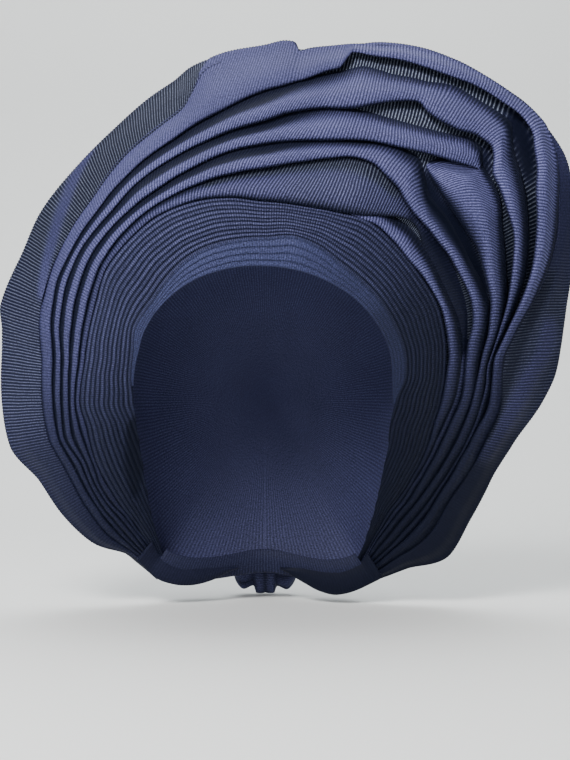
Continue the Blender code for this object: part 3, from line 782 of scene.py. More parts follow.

# %% [markdown]
# ## The four cloths
#
# The same cloth is used four times: loose in the folds, packed in the pleats, pulled smooth in the band and
# plain at the back. Only its colours, the rib spacing and the strength of the bump differ. Every piece
# carries three marks at its points: how much light reaches it, which is painted shade in its colour, how
# sheer it is, and how strongly its ribs show. The marks are read by Attribute nodes. In the painted shade the
# pale ribs grow narrower, and where the cloth is sheer only thin threads show on dark.

# %% Cloth materials
PLEAT_SPACING = 0.0013
SHEEN_TINT = (0.45, 0.52, 0.95, 1.0)
SHEEN_ROUGHNESS = 0.45
GLOSS = 0.10
DEEP_NAVY = (0.0020, 0.0034, 0.0100)
BETWEEN_THREADS = (0.004, 0.005, 0.010)
PALE_THREAD = (0.30, 0.31, 0.36)
RIB_NARROWING = 2.5
THREAD_NARROWNESS = 5.0
YARN_HEIGHT = 0.25
BUMP_DEPTH = 0.0004


def mix_colour(tree, factor, first, second):
    """A mix of two colours, each a colour or a socket."""
    node = tree.nodes.new("ShaderNodeMix")
    node.data_type = "RGBA"
    node.clamp_factor = True
    tree.links.new(factor, node.inputs["Factor"])
    for socket, value in zip((node.inputs[6], node.inputs[7]), (first, second)):
        if isinstance(value, tuple):
            socket.default_value = (*value, 1.0)
        else:
            tree.links.new(value, socket)
    return node.outputs[2]


def cloth_colour(tree, ribs, marks, dark, pale, thread):
    """The cloth's colour: ribs, sheer threads, painted shade and flecks, and a little navy even in deep
    painted shade.
    """
    centred = math_node(tree, "SUBTRACT", ribs.outputs["Rib"], 0.5)
    rib = math_node(tree, "ADD", math_node(tree, "MULTIPLY", centred, marks["relief"]), 0.5)
    # In painted shade the pale ribs are drawn narrower
    dimness = math_node(tree, "SUBTRACT", 1.0, marks["shade"], clamp=True)
    sharpness = math_node(tree, "ADD", math_node(tree, "MULTIPLY", dimness, RIB_NARROWING), 1.0)
    plain = mix_colour(tree, math_node(tree, "POWER", rib, sharpness), dark, pale)
    narrow = math_node(tree, "POWER", ribs.outputs["Rib"], THREAD_NARROWNESS)
    sheer = mix_colour(tree, narrow, BETWEEN_THREADS, thread)
    both = mix_colour(tree, marks["sheer"], plain, sheer)
    # Painted shade: the shade mark scales the colour down; the tone is the cloth's own uneven colour
    light = math_node(tree, "MULTIPLY", marks["shade"], ribs.outputs["Tone"])
    toned = tree.nodes.new("ShaderNodeVectorMath")
    toned.operation = "SCALE"
    tree.links.new(both, toned.inputs[0])
    tree.links.new(light, toned.inputs["Scale"])
    deep = tree.nodes.new("ShaderNodeVectorMath")
    deep.operation = "ADD"
    tree.links.new(toned.outputs[0], deep.inputs[0])
    deep.inputs[1].default_value = DEEP_NAVY
    return deep.outputs[0]


def cloth_material(name, dark, pale, spacing, bump, sheen, roughness, thread):
    """Ribbed cloth: dark and pale are the colours beside and on a rib, thread where it is sheer."""
    material = bpy.data.materials.new(name)
    material.use_nodes = True
    tree = material.node_tree
    shader = tree.nodes["Principled BSDF"]
    ribs = tree.nodes.new("ShaderNodeGroup")
    ribs.node_tree = rib_group
    ribs.inputs["Rib Spacing"].default_value = spacing
    ribs.inputs["Yarn Spacing"].default_value = spacing / 2
    marks = {}
    for mark in MARKS:
        node = tree.nodes.new("ShaderNodeAttribute")
        node.attribute_name = mark
        marks[mark] = node.outputs["Fac"]
    tree.links.new(cloth_colour(tree, ribs, marks, dark, pale, thread), shader.inputs["Base Color"])
    yarn = math_node(tree, "MULTIPLY", ribs.outputs["Yarn"], YARN_HEIGHT)
    height = math_node(tree, "MULTIPLY", math_node(tree, "ADD", yarn, ribs.outputs["Rib"]), marks["relief"])
    lift = tree.nodes.new("ShaderNodeBump")
    lift.inputs["Strength"].default_value = bump
    lift.inputs["Distance"].default_value = BUMP_DEPTH
    tree.links.new(height, lift.inputs["Height"])
    tree.links.new(lift.outputs["Normal"], shader.inputs["Normal"])
    shader.inputs["Roughness"].default_value = roughness
    shader.inputs["Sheen Weight"].default_value = sheen
    shader.inputs["Sheen Roughness"].default_value = SHEEN_ROUGHNESS
    shader.inputs["Sheen Tint"].default_value = SHEEN_TINT
    shader.inputs["Specular IOR Level"].default_value = GLOSS
    return material


fold_cloth = cloth_material("navy_ribbed_cloth", dark=(0.014, 0.015, 0.046), pale=(0.113, 0.115, 0.262),
                            spacing=FOLD_SPACING, bump=0.7, sheen=0.04, roughness=0.6,
                            thread=(0.26, 0.30, 0.39))
pleat_cloth = cloth_material("navy_pleated_cloth", dark=(0.016, 0.018, 0.046), pale=(0.064, 0.067, 0.141),
                             spacing=PLEAT_SPACING, bump=0.5, sheen=0.04, roughness=0.6,
                             thread=PALE_THREAD)
band_cloth = cloth_material("navy_band_cloth", dark=(0.026, 0.030, 0.080), pale=(0.046, 0.051, 0.115),
                            spacing=PLEAT_SPACING, bump=0.4, sheen=0.05, roughness=0.55,
                            thread=PALE_THREAD)
back_cloth = cloth_material("navy_back_cloth", dark=(0.014, 0.015, 0.038), pale=(0.052, 0.055, 0.124),
                            spacing=FOLD_SPACING, bump=0.5, sheen=0.04, roughness=0.6,
                            thread=PALE_THREAD)
print("cloths:", [cloth.name for cloth in (fold_cloth, pleat_cloth, band_cloth, back_cloth)])

# %% [markdown]
# ## Light and weave round the face
#
# The real cloth lies in deeper shade towards both lower ends, and its ribs show more or less strongly from
# place to place. Lamps alone don't give that, because packed cloth shades itself in ways that a few folds
# can't. So each kind of piece has a table of looks by angle, which becomes marks at its points, and its light
# is painted shade in the cloth's colour.

# %% Light and weave round the face
FAN_START = -149.0
FAN_END = 149.5
COLUMN_STEP = 0.6

# Rows of angle, painted light, sheerness, and how strongly the ribs show
FOLD_LOOKS = (
    (-150, 0.22, 0.0, 0.30), (-130, 0.26, 0.0, 0.30), (-107, 0.36, 0.0, 0.30), (-90, 0.62, 0.0, 0.35),
    (-70, 0.90, 0.0, 0.45), (-40, 1.00, 0.0, 0.65), (-10, 0.95, 0.0, 0.90), (30, 0.98, 0.0, 0.90),
    (46, 1.25, 0.0, 0.90), (60, 1.05, 0.0, 0.85), (75, 0.66, 0.0, 0.70), (90, 0.36, 0.0, 0.50),
    (107, 0.15, 0.0, 0.35), (125, 0.09, 0.0, 0.30), (150, 0.08, 0.0, 0.30),
)
OUTERMOST_LOOKS = (
    (-150, 0.22, 0.0, 0.30), (-130, 0.26, 0.0, 0.30), (-107, 0.36, 0.0, 0.30), (-90, 0.62, 0.0, 0.35),
    (-70, 0.85, 0.0, 0.40), (-40, 0.92, 0.0, 0.45), (-10, 0.86, 0.0, 0.50), (10, 0.86, 0.0, 0.55),
    (15, 0.95, 0.0, 0.80), (46, 1.10, 0.0, 0.90), (60, 1.10, 0.0, 0.90), (75, 0.75, 0.0, 0.70),
    (90, 0.36, 0.0, 0.50), (107, 0.15, 0.0, 0.35), (125, 0.09, 0.0, 0.30), (150, 0.08, 0.0, 0.30),
)
LOWEST_LOOKS = (
    (-150, 0.22, 0.0, 0.30), (-130, 0.26, 0.0, 0.30), (-107, 0.36, 0.0, 0.30), (-90, 0.62, 0.0, 0.35),
    (-70, 0.70, 0.0, 0.45), (-40, 0.70, 0.0, 0.70), (-18, 0.78, 0.0, 0.90), (0, 0.70, 0.0, 1.00),
    (12, 0.68, 0.15, 1.00), (33, 0.70, 0.15, 1.00), (42, 0.55, 0.0, 1.00), (60, 0.55, 0.0, 0.80),
    (75, 0.50, 0.0, 0.70), (90, 0.34, 0.0, 0.50), (115, 0.17, 0.0, 0.30), (150, 0.12, 0.0, 0.30),
)
RIM_LOOKS = (
    (-150, 0.20, 0.0, 0.40), (-130, 0.25, 0.0, 0.35), (-107, 0.33, 0.1, 0.60), (-90, 0.50, 0.4, 1.00),
    (-70, 0.46, 0.5, 1.00), (-50, 0.33, 0.8, 1.00), (-30, 0.34, 0.8, 1.00), (-12, 0.42, 0.8, 1.00),
    (-7, 0.95, 0.0, 0.50), (13, 0.95, 0.0, 0.50), (47, 0.70, 0.0, 0.30), (55, 0.40, 0.0, 0.15),
    (65, 0.32, 0.1, 0.30), (73, 0.32, 0.5, 0.90), (90, 0.30, 0.3, 0.80), (103, 0.15, 0.1, 0.50),
    (112, 0.06, 0.0, 0.30), (130, 0.06, 0.0, 0.30), (150, 0.08, 0.0, 0.30),
)
PLEAT_LOOKS = (
    (-150, 0.22, 0.0, 0.60), (-130, 0.26, 0.0, 0.60), (-107, 0.41, 0.0, 0.60), (-85, 0.77, 0.0, 0.60),
    (-60, 0.98, 0.0, 0.70), (15, 1.00, 0.0, 1.00), (40, 0.85, 0.0, 1.00), (58, 0.45, 0.0, 0.80),
    (75, 0.31, 0.0, 0.60), (95, 0.20, 0.0, 0.50), (120, 0.12, 0.0, 0.40), (150, 0.09, 0.0, 0.40),
)

print("looks:", [len(looks) for looks in (FOLD_LOOKS, OUTERMOST_LOOKS, LOWEST_LOOKS, RIM_LOOKS)], "rows")

# %% [markdown]
# ## Soft ridges and hollows
#
# A few soft ridges and hollows cross several folds at once, such as the deep hollow under the lobe. They
# could be sculpted, but then each would have to be matched over several pieces. Here one line of angles and
# radii lifts the cloth and changes its marks wherever it crosses a piece. Its light is painted: painted shade
# darkens a hollow and painted light brightens a ridge.

# %% Soft ridges and hollows
MARK_FADE = 1.5
MARK_FULLNESS = 4

FOLDED = ("fan_fold_lobe", "fan_fold_second", "fan_back_sheet", "fan_fold_lowest")
OUTER = ("fan_fold_fourth", "fan_fold_outermost", "fan_back_sheet", "fan_fold_third", "fan_fold_lobe")

# Each has the pieces that it crosses, its lift in millimetres (less than 0 for a hollow), how many times as
# light its painted light makes it (below 1 it is painted shade), its sheerness and rib strength, and rows of
# angle, radius and half of its width
SOFT_MARKS = (
    {"on": ("fan_rim_sheet",), "lift": 1.6, "light": 2.0, "sheer": 0.0, "relief": 0.25,
     "rows": ((-66, 245, 5), (-59.5, 255.7, 6), (-54, 264.4, 7), (-49.4, 273.6, 7.5), (-45.2, 282, 7.5),
              (-41.3, 291.4, 7), (-37.5, 300, 6), (-34, 306, 4))},
    {"on": ("fan_rim_sheet",), "lift": 2.0, "light": 1.7, "sheer": 0.0, "relief": 0.8,
     "rows": ((74, 296, 7), (79.1, 287, 11), (85.5, 265, 11), (92.8, 248, 10), (100, 234, 8), (106, 226, 6))},
    {"on": ("fan_rim_sheet",), "lift": -1.0, "light": 0.45, "sheer": 0.6, "relief": 1.0,
     "rows": ((66, 313, 7), (72, 284, 8), (78, 260, 8), (84, 246, 7), (92, 233, 6), (100, 225, 4))},
    {"on": FOLDED, "lift": -2.0, "light": 0.10, "sheer": 0.0, "relief": 0.2,
     "rows": ((34.5, 279, 5), (36.5, 272, 8), (38.5, 266.5, 10), (42, 259, 12), (45, 257.5, 12.5),
              (49, 254.5, 11), (53.5, 252, 8), (59.4, 249, 5), (65, 244, 3.5))},
    {"on": ("fan_fold_lobe",), "lift": 0.0, "light": 0.70, "sheer": 0.0, "relief": 0.9,
     "rows": ((35.5, 288, 5), (37.5, 297, 7), (40, 303, 7), (42.5, 309, 6))},
    {"on": ("fan_fold_fourth", "fan_back_sheet"), "lift": -1.5, "light": 0.10, "sheer": 0.0, "relief": 0.1,
     "rows": ((40.2, 375, 6), (41.5, 374.5, 11), (43, 371, 13), (44.8, 365, 13), (46.5, 359, 12),
              (48.5, 352, 9), (50.5, 344, 5))},
    {"on": OUTER, "lift": -1.0, "light": 0.12, "sheer": 0.0, "relief": 0.1,
     "rows": ((41.0, 334, 4), (41.8, 330, 7), (43.2, 323, 6), (45, 316, 4))},
    {"on": ("fan_fold_lowest",), "lift": -0.5, "light": 0.22, "sheer": 0.0, "relief": 0.5,
     "rows": ((38, 232, 5), (43, 226, 7), (48, 225, 9), (55, 220, 10), (62, 218, 10), (67, 215, 9),
              (72, 210, 6), (77, 204, 4))},
    {"on": ("fine_pleat_cloth",), "lift": -0.8, "light": 0.25, "sheer": 0.0, "relief": 0.3,
     "rows": ((-127, 160, 5), (-121, 151, 9), (-114, 143, 10), (-108, 138, 9), (-102, 135, 6),
              (-98, 133, 3))},
    {"on": ("fan_fold_lowest",), "lift": -0.3, "light": 0.75, "sheer": 0.8, "relief": 1.0,
     "rows": ((-16, 223, 2.5), (-8, 226, 4), (0, 229, 5), (8, 237, 7), (16, 248, 9), (22, 254, 10),
              (28, 250, 7), (33, 244, 5))},
)


def fan_columns(first, last, step=COLUMN_STEP):
    """Angles of a piece's columns."""
    count = int(round((last - first) / step)) + 1
    return np.linspace(first, last, count)


def look_marks(looks, angles, shape):
    """Painted light, sheerness and rib strength of a piece's points, from a table of looks."""
    found = {}
    for number, mark in enumerate(MARKS, start=1):
        found[mark] = np.broadcast_to(table_line(looks, number, angles), shape).copy()
    return found


def soft_marks(name, angles, radii, marks):
    """Change a piece's marks where soft ridges and hollows cross it, and return how far they lift it."""
    lift = np.zeros_like(radii)
    for soft in SOFT_MARKS:
        if name not in soft["on"]:
            continue
        middle = table_line(soft["rows"], 1, angles) * STEP
        width = table_line(soft["rows"], 2, angles) * STEP
        first = soft["rows"][0][0]
        last = soft["rows"][-1][0]
        inside = smooth(first - MARK_FADE, first + MARK_FADE, angles)
        inside = inside * (1 - smooth(last - MARK_FADE, last + MARK_FADE, angles))
        share = np.exp(-((radii - middle) / width) ** MARK_FULLNESS) * inside
        lift += soft["lift"] / MM_IN_METRE * share
        # Painted shade in a hollow and painted light on a ridge
        marks["shade"] = marks["shade"] * (1 + (soft["light"] - 1) * share)
        for mark in ("sheer", "relief"):
            marks[mark] = marks[mark] + (soft[mark] - marks[mark]) * share
    return lift


print("marks that cross the folds:", len(SOFT_MARKS))

# %% [markdown]
# ## Rolling the folds
#
# On the real wrap a fold is the cloth laid over itself and pinned underneath. Each one could be a curve with
# a bevel, but its width and height change all the way round, so it is a grid of points worked out from its
# tables instead. A form table says where the roll is highest and where light reaches it, as painted shade:
# its lower edge curls under, and its upper side dims towards the fold that hangs over it.

# %% Forms of the folds
# Rows of angle, then shares of the fold's width: the highest point, where the lower edge is fully lit, and
# where the upper side starts to dim and is darkest, all in painted shade
FORM_COLUMNS = ("angle", "peak", "lit", "dim", "dark")
ROUND_FORM = (
    (-150, 0.50, 0.28, 0.62, 0.85), (-50, 0.46, 0.22, 0.56, 0.70), (-20, 0.38, 0.16, 0.48, 0.61),
    (0, 0.36, 0.13, 0.48, 0.64), (12, 0.38, 0.13, 0.50, 0.95), (25, 0.42, 0.14, 0.60, 1.05),
    (40, 0.45, 0.18, 0.60, 1.00), (60, 0.46, 0.26, 0.58, 0.95), (150, 0.50, 0.30, 0.58, 0.95),
)
OPEN_FORM = (
    (-150, 0.50, 0.28, 0.62, 0.85), (-50, 0.46, 0.22, 0.56, 0.70), (-20, 0.38, 0.16, 0.48, 0.61),
    (0, 0.36, 0.13, 0.48, 0.64), (10, 0.38, 0.13, 0.52, 1.00), (16, 0.42, 0.14, 0.72, 1.15),
    (36, 0.45, 0.16, 0.76, 1.18), (42, 0.45, 0.18, 0.62, 1.02), (60, 0.46, 0.26, 0.58, 0.95),
    (150, 0.50, 0.30, 0.58, 0.95),
)
LOBE_FORM = (
    (30, 0.60, 0.10, 0.85, 1.05), (42, 0.60, 0.35, 0.85, 1.05), (52, 0.58, 0.45, 0.80, 1.05),
    (62, 0.50, 0.30, 0.65, 1.00), (150, 0.50, 0.30, 0.62, 1.00),
)
LOWEST_FORM = (
    (-150, 0.55, 0.28, 0.58, 0.95), (-50, 0.50, 0.26, 0.52, 0.88), (-20, 0.34, 0.28, 0.46, 0.95),
    (0, 0.30, 0.25, 0.55, 1.15), (25, 0.30, 0.22, 0.70, 1.20), (40, 0.50, 0.28, 0.70, 1.10),
    (150, 0.50, 0.28, 0.62, 1.00),
)
OUTERMOST_FORM = (
    (-150, 0.52, 0.25, 0.66, 1.05), (-60, 0.52, 0.22, 0.75, 1.25), (-45, 0.48, 0.18, 0.90, 1.40),
    (-24, 0.42, 0.14, 1.00, 1.50), (-10, 0.30, 0.08, 1.20, 1.60), (12, 0.35, 0.10, 1.10, 1.50),
    (16, 0.45, 0.16, 0.90, 1.30), (45, 0.48, 0.16, 0.85, 1.20), (60, 0.48, 0.20, 0.75, 1.05),
    (150, 0.50, 0.28, 0.70, 1.05),
)
# The rim sheet is lit all over
FLAT_FORM = ((-150, 0.5, -0.02, 1.2, 1.6), (150, 0.5, -0.02, 1.2, 1.6))

# Rows of angle and the share of the tuck that goes on under the next fold
TUCKED = ((-150, 1.0), (150, 1.0))
TUCKED_OUTERMOST = ((-150, 1.0), (-15, 1.0), (-10, 0.0), (49, 0.0), (53, 1.0), (150, 1.0))
NOT_TUCKED = ((-150, 0.0), (150, 0.0))
FORMS = (ROUND_FORM, OPEN_FORM, LOBE_FORM, LOWEST_FORM, OUTERMOST_FORM)
print("forms:", [len(form) for form in FORMS], "rows")

# %% [markdown]
# ## Making the folds
#
# One function makes every fold, and the rim sheet too. It reads the tables at each column's angle, lays the
# roll's outline between the fold's bottom and top, lifts it off the smooth cloth and marks where it is dark
# with painted shade. No two folds are even, so a little wander is added along each, from its own seed.

# %% Folds
FOLD_ROWS = 26
LEAST_WIDTH = 0.0004
RISE_UNEVENNESS = 0.10
EDGE_WANDER = 0.0003
EDGE_SEED = 50
# How many waves, and the slowest and the fastest of them, in each turn of the circle
RISE_WAVES = (5, 6, 30)
EDGE_WAVES = (6, 10, 45)
INNER_ROLL_START = 25.0
THIRD_END = 43.0
LOBE_START = 34.5
# CURL_LIGHT_START, DARKEST and TUCK_DIMNESS set the folds' painted shade
CURL_LIGHT_START = -0.04
DARKEST = 0.07
TUCK_DEPTH = 0.0036
TUCK_DIMNESS = 0.85
REVERSE_LOOK = {"shade": 0.62, "sheer": 0.0, "relief": 0.7}


def fold_light(shape, form, width_share, tuck):
    """Painted shade: how much light reaches each point of a fold, from its form and its tuck."""
    row_number = np.arange(len(tuck))[:, None]
    lower = smooth(CURL_LIGHT_START, shape["lit"], width_share) * (row_number >= CURL_ROWS - 1)
    if form is FLAT_FORM:
        lower = np.ones_like(lower)
    upper = (1 - smooth(shape["dim"], shape["dark"], width_share)) * (1 - TUCK_DIMNESS * tuck)
    return DARKEST + (1 - DARKEST) * lower * upper


def make_fold(name, table, form, looks, first, last, seed, tuck_rows=TUCKED):
    """One rolled fold of the fan, from the tables of its lines, its form, its looks and its tuck."""
    angles = fan_columns(first, last)
    cut = fold_values(table, angles)
    shape = {column: table_line(form, number, angles) for number, column in enumerate(FORM_COLUMNS)}
    width_share, rise_share, tuck = roll_outline(FOLD_ROWS, shape["peak"])
    width = np.maximum(cut["top"] - cut["bottom"], LEAST_WIDTH)
    rise = cut["rise"] * width * (1 + RISE_UNEVENNESS * waves(angles, seed, *RISE_WAVES))
    wander = EDGE_WANDER * waves(angles, seed + EDGE_SEED, *EDGE_WAVES)
    radii = cut["bottom"] + wander + width_share * width
    radii = radii + tuck * TUCK * table_line(tuck_rows, 1, angles)
    grid_angles = np.broadcast_to(angles[None, :], radii.shape)
    marks = look_marks(looks, angles, radii.shape)
    height = rise_share * rise + cut["lift"] * (1 - tuck) - tuck * TUCK_DEPTH
    height = height + soft_marks(name, grid_angles, radii, marks)
    points = place(grid_angles, radii, cloth_depth(grid_angles, radii) - height)
    along, across = rib_map(points, cut["slant"][None, :])
    # Painted shade of the roll: its curled edge, its dim upper side and its tuck
    marks["shade"] = marks["shade"] * fold_light(shape, form, width_share, tuck)
    return finish_sheet(name, points, along, across, marks, CLOTH_WALL, fold_cloth, REVERSE_LOOK)


folds = [
    make_fold("fan_fold_lowest", FOLD_1, LOWEST_FORM, LOWEST_LOOKS, FAN_START, FAN_END, 1),
    make_fold("fan_fold_inner_roll", INNER_ROLL, ROUND_FORM, FOLD_LOOKS, INNER_ROLL_START, FAN_END, 2),
    make_fold("fan_fold_second", FOLD_2, ROUND_FORM, FOLD_LOOKS, FAN_START, FAN_END, 3),
    make_fold("fan_fold_third", FOLD_3, OPEN_FORM, FOLD_LOOKS, FAN_START, THIRD_END, 4),
    make_fold("fan_fold_lobe", LOBE, LOBE_FORM, FOLD_LOOKS, LOBE_START, FAN_END, 8),
    make_fold("fan_fold_fourth", FOLD_4, OPEN_FORM, FOLD_LOOKS, FAN_START, FAN_END, 5),
    make_fold("fan_fold_outermost", FOLD_5, OUTERMOST_FORM, OUTERMOST_LOOKS, FAN_START, FAN_END, 6,
              TUCKED_OUTERMOST),
]
rim_sheet = make_fold("fan_rim_sheet", RIM_SHEET, FLAT_FORM, RIM_LOOKS, FAN_START, FAN_END, 7, NOT_TUCKED)

# %% [markdown]
# ## The sheet behind the folds
#
# The folds are all one cloth, so a sheet runs on behind them. It shows in the gaps between the folds,
# where it is sheer, and from the back. Each fold could carry a strip of it, but the strips would have to
# meet. One grid from the fine pleats to the rim does it all, a little deeper than the folds.

# %% Back sheet
BACK_SHEET_DEPTH = 0.0034
BACK_SHEET_RISE = 0.6
BACK_RISE_POWER = 6
BACK_SHEET_ROWS = 60
BACK_COLUMN_STEP = 1.0
BACK_OVERLAP = 0.003
BACK_INSET = 0.002
BACK_RIPPLE = 0.0010
BACK_RIPPLES = 5
BACK_SLANT_ANGLES = (-150, -20, 0, 12, 25, 36, 50, 62, 80, 150)
BACK_SLANTS = (0.0, 0.2, 0.2, 0.05, -0.15, -0.2, 0.05, 0.15, 0.05, 0.0)
# Painted shade of the back sheet by angle: lightest from 10 to 42 degrees, darker towards both lower ends
BACK_LIGHT_ANGLES = (-150, -20, 10, 42, 47, 60, 150)
BACK_LIGHTS = (0.15, 0.4, 0.85, 0.85, 0.45, 0.3, 0.1)
BACK_SHEERNESS = 0.9

back_angles = fan_columns(FAN_START, FAN_END, BACK_COLUMN_STEP)
back_inner = line(PLEATS, back_angles) - BACK_OVERLAP
back_outer = line(RIM, back_angles) - BACK_INSET
share = np.linspace(0, 1, BACK_SHEET_ROWS)[:, None]
back_radii = back_inner[None, :] + share * (back_outer - back_inner)[None, :]
back_grid = np.broadcast_to(back_angles[None, :], back_radii.shape)
sink = BACK_SHEET_DEPTH * (1 - BACK_SHEET_RISE * share ** BACK_RISE_POWER)
ripple = BACK_RIPPLE * np.sin(share * BACK_RIPPLES * 2 * np.pi)
back_points = place(back_grid, back_radii, cloth_depth(back_grid, back_radii) + sink - ripple)
back_slant = through_rows(BACK_SLANT_ANGLES, BACK_SLANTS, back_angles)
back_light = through_rows(BACK_LIGHT_ANGLES, BACK_LIGHTS, back_angles)
back_along, back_across = rib_map(back_points, back_slant[None, :])
back_marks = {"shade": np.broadcast_to(back_light[None, :], back_radii.shape).copy(),
              "sheer": np.full(back_radii.shape, BACK_SHEERNESS), "relief": np.ones(back_radii.shape)}
soft_marks("fan_back_sheet", back_grid, back_radii, back_marks)
back_sheet = finish_sheet("fan_back_sheet", back_points, back_along, back_across, back_marks,
                          CLOTH_WALL, fold_cloth, REVERSE_LOOK)

# %% [markdown]
# ## The fine pleats round the face
#
# Between the band and the fan the cloth is packed into eleven narrow pleats, like the pages of a book seen
# from the edge. Each could be a roll of its own, as the folds are, but they run together low down at the
# sides. So they are one sheet here: a close grid whose rows rise and fall, with fewer pleats low down. They
# wander a little, and each one catches a little more or less painted light than the next, with painted shade
# in their hollows.

# %% Fine pleats
PLEAT_ROWS = 110
PLEAT_COLUMN_STEP = 0.9
PLEAT_GAP = 0.0002
PLEAT_RISE = 0.0016
PLEAT_STEEPEST = 0.45
PLEAT_ROUNDNESS = 0.8
PLEAT_WANDER = 0.26
# Painted shade in the pleats' hollows, and painted light that changes from pleat to pleat
PLEAT_HOLLOW_LIGHT = 0.2
PLEAT_HOLLOW_WIDTH = 1.3
PLEAT_LIGHT_UNEVENNESS = 0.16
PLEAT_TURN = 2.4
# The seed of each set of waves, how many they are, and the slowest and the fastest of them
PLEAT_WANDER_WAVES = (21, 6, 8, 34)
PLEAT_TURN_WAVES = (22, 4, 3, 9)
PLEAT_ANGLES = (-150, -140, -130, -120, -110, -100, -90, -75, 75, 90, 100, 110, 120, 130, 140, 150)
PLEAT_COUNTS = (3, 5, 7, 8, 9, 10, 11, 11, 11, 11, 10.5, 10, 9, 7, 5, 3)

pleat_angles = fan_columns(FAN_START, FAN_END, PLEAT_COLUMN_STEP)
pleat_inner = line(BAND, pleat_angles) + PLEAT_GAP
pleat_outer = line(PLEATS, pleat_angles)
pleat_count = through_rows(PLEAT_ANGLES, PLEAT_COUNTS, pleat_angles)
share = np.linspace(0, 1, PLEAT_ROWS)[:, None]
pleat_radii = pleat_inner[None, :] + share * (pleat_outer - pleat_inner)[None, :]
wander = PLEAT_WANDER * waves(pleat_angles, *PLEAT_WANDER_WAVES)[None, :] * np.sin(np.pi * share)
phase = (1 - share) * pleat_count[None, :] + wander
ridge = np.abs(np.sin(np.pi * phase)) ** PLEAT_ROUNDNESS
pitch = (pleat_outer - pleat_inner) / pleat_count
height = np.minimum(PLEAT_RISE, PLEAT_STEEPEST * pitch)[None, :] * ridge
pleat_grid = np.broadcast_to(pleat_angles[None, :], pleat_radii.shape)
pleat_marks = look_marks(PLEAT_LOOKS, pleat_angles, pleat_radii.shape)
height = height + soft_marks("fine_pleat_cloth", pleat_grid, pleat_radii, pleat_marks)
pleat_points = place(pleat_grid, pleat_radii, cloth_depth(pleat_grid, pleat_radii) - height)
pleat_along, pleat_across = rib_map(pleat_points, NO_SLANT)
# Painted shade: darker in each pleat's hollow, and each pleat a little lighter or darker than the next
pleat_light = PLEAT_HOLLOW_LIGHT + (1 - PLEAT_HOLLOW_LIGHT) * ridge ** PLEAT_HOLLOW_WIDTH
turning = 2 * waves(pleat_angles, *PLEAT_TURN_WAVES)[None, :]
pleat_light = pleat_light * (1 + PLEAT_LIGHT_UNEVENNESS * np.sin(PLEAT_TURN * np.floor(phase) + turning))
pleat_marks["shade"] = pleat_marks["shade"] * pleat_light
fine_pleats = finish_sheet("fine_pleat_cloth", pleat_points, pleat_along, pleat_across, pleat_marks,
                           CLOTH_WALL, pleat_cloth)

# %% [markdown]
# ## The band over the forehead
#
# The first turn of the cloth is pulled smooth over the forehead, in a few shallow layers. A plain strip
# with a bevelled edge would lose them. So it is laid in the same way as the pleats, with steps in place
# of ridges, and its edge is turned in.

# %% Band
BAND_ROWS = 40
BAND_COLUMN_STEP = 0.7
BAND_OVERLAP = 0.0004
BAND_LAYERS = 4
BAND_RISE = 0.0008
BAND_STEEPEST = 0.3
BAND_ROUNDNESS = 0.6
BAND_WANDER = 0.12
BAND_WAVES = (31, 5, 3, 14)
BAND_START = -84.0
BAND_END = 92.0
BAND_FORWARD = 0.0006
EDGE_TURN = 0.002
EDGE_TURN_SHARE = 0.02
# Painted shade of the band: the least light it keeps, and the light at a layer's dim side
BAND_LEAST_LIGHT = 0.45
LAYER_LIGHT = 0.55
# How fast a layer dims towards its outer side, and lights up from its inner side
LAYER_FADE = 3
LAYER_START = (8, 0.3)

band_angles = fan_columns(BAND_START, BAND_END, BAND_COLUMN_STEP)
band_inner = line(EDGE, band_angles)
band_outer = line(BAND, band_angles) + BAND_OVERLAP
share = np.linspace(0, 1, BAND_ROWS)[:, None]
band_radii = band_inner[None, :] + share * (band_outer - band_inner)[None, :]
wander = BAND_WANDER * waves(band_angles, *BAND_WAVES)[None, :] * np.sin(np.pi * share)
layer = share * BAND_LAYERS + wander
saw = layer - np.floor(layer)
pitch = (band_outer - band_inner) / BAND_LAYERS
height = np.minimum(BAND_RISE, BAND_STEEPEST * pitch)[None, :] * (1 - saw) ** BAND_ROUNDNESS
turned_in = EDGE_TURN * np.exp(-share / EDGE_TURN_SHARE)
band_grid = np.broadcast_to(band_angles[None, :], band_radii.shape)
band_depth = cloth_depth(band_grid, band_radii) - height + turned_in - BAND_FORWARD
band_points = place(band_grid, band_radii, band_depth)
band_along, band_across = rib_map(band_points, NO_SLANT)
band_marks = look_marks(PLEAT_LOOKS, band_angles, band_radii.shape)
# Painted shade: each layer dims towards its outer side
layer_light = np.clip((1 - saw) * LAYER_FADE, 0, 1) * np.clip(saw * LAYER_START[0] + LAYER_START[1], 0, 1)
layer_light = LAYER_LIGHT + (1 - LAYER_LIGHT) * layer_light
band_marks["shade"] = np.maximum(band_marks["shade"], BAND_LEAST_LIGHT) * layer_light
band = finish_sheet("forehead_band_cloth", band_points, band_along, band_across, band_marks,
                    CLOTH_WALL, band_cloth)

# %% [markdown]
# ## The wrap over the crown
#
# Behind the fan the cloth is pulled plain over the crown. The hidden parts are finished plainly. The
# wrap could start as half a ball, but its front edge has to follow the pleats all round. So it keeps the
# plain model's own form: rings of points from that edge to its backmost point.

# %% Form of the crown
FAN_LEFT_END = -146.0
FAN_RIGHT_END = 149.0
CROWN_INSET = 0.006
CROWN_GAP = 0.0014
CROWN_BULGE = 0.030
BACK_REACH = 0.099
NAPE_DROP = 0.103
NAPE_REACH = 0.078
SLOPE_STEP = 0.001
TURN_STEP = 0.5
SMALLEST = 1e-12
CAD_WALL = 0.0018
CROWN_SWELL_ANGLES = (0, 45, 90, 135, 180)
CROWN_SWELL = (1.0, 0.75, 0.25, 0.05, 0.0)


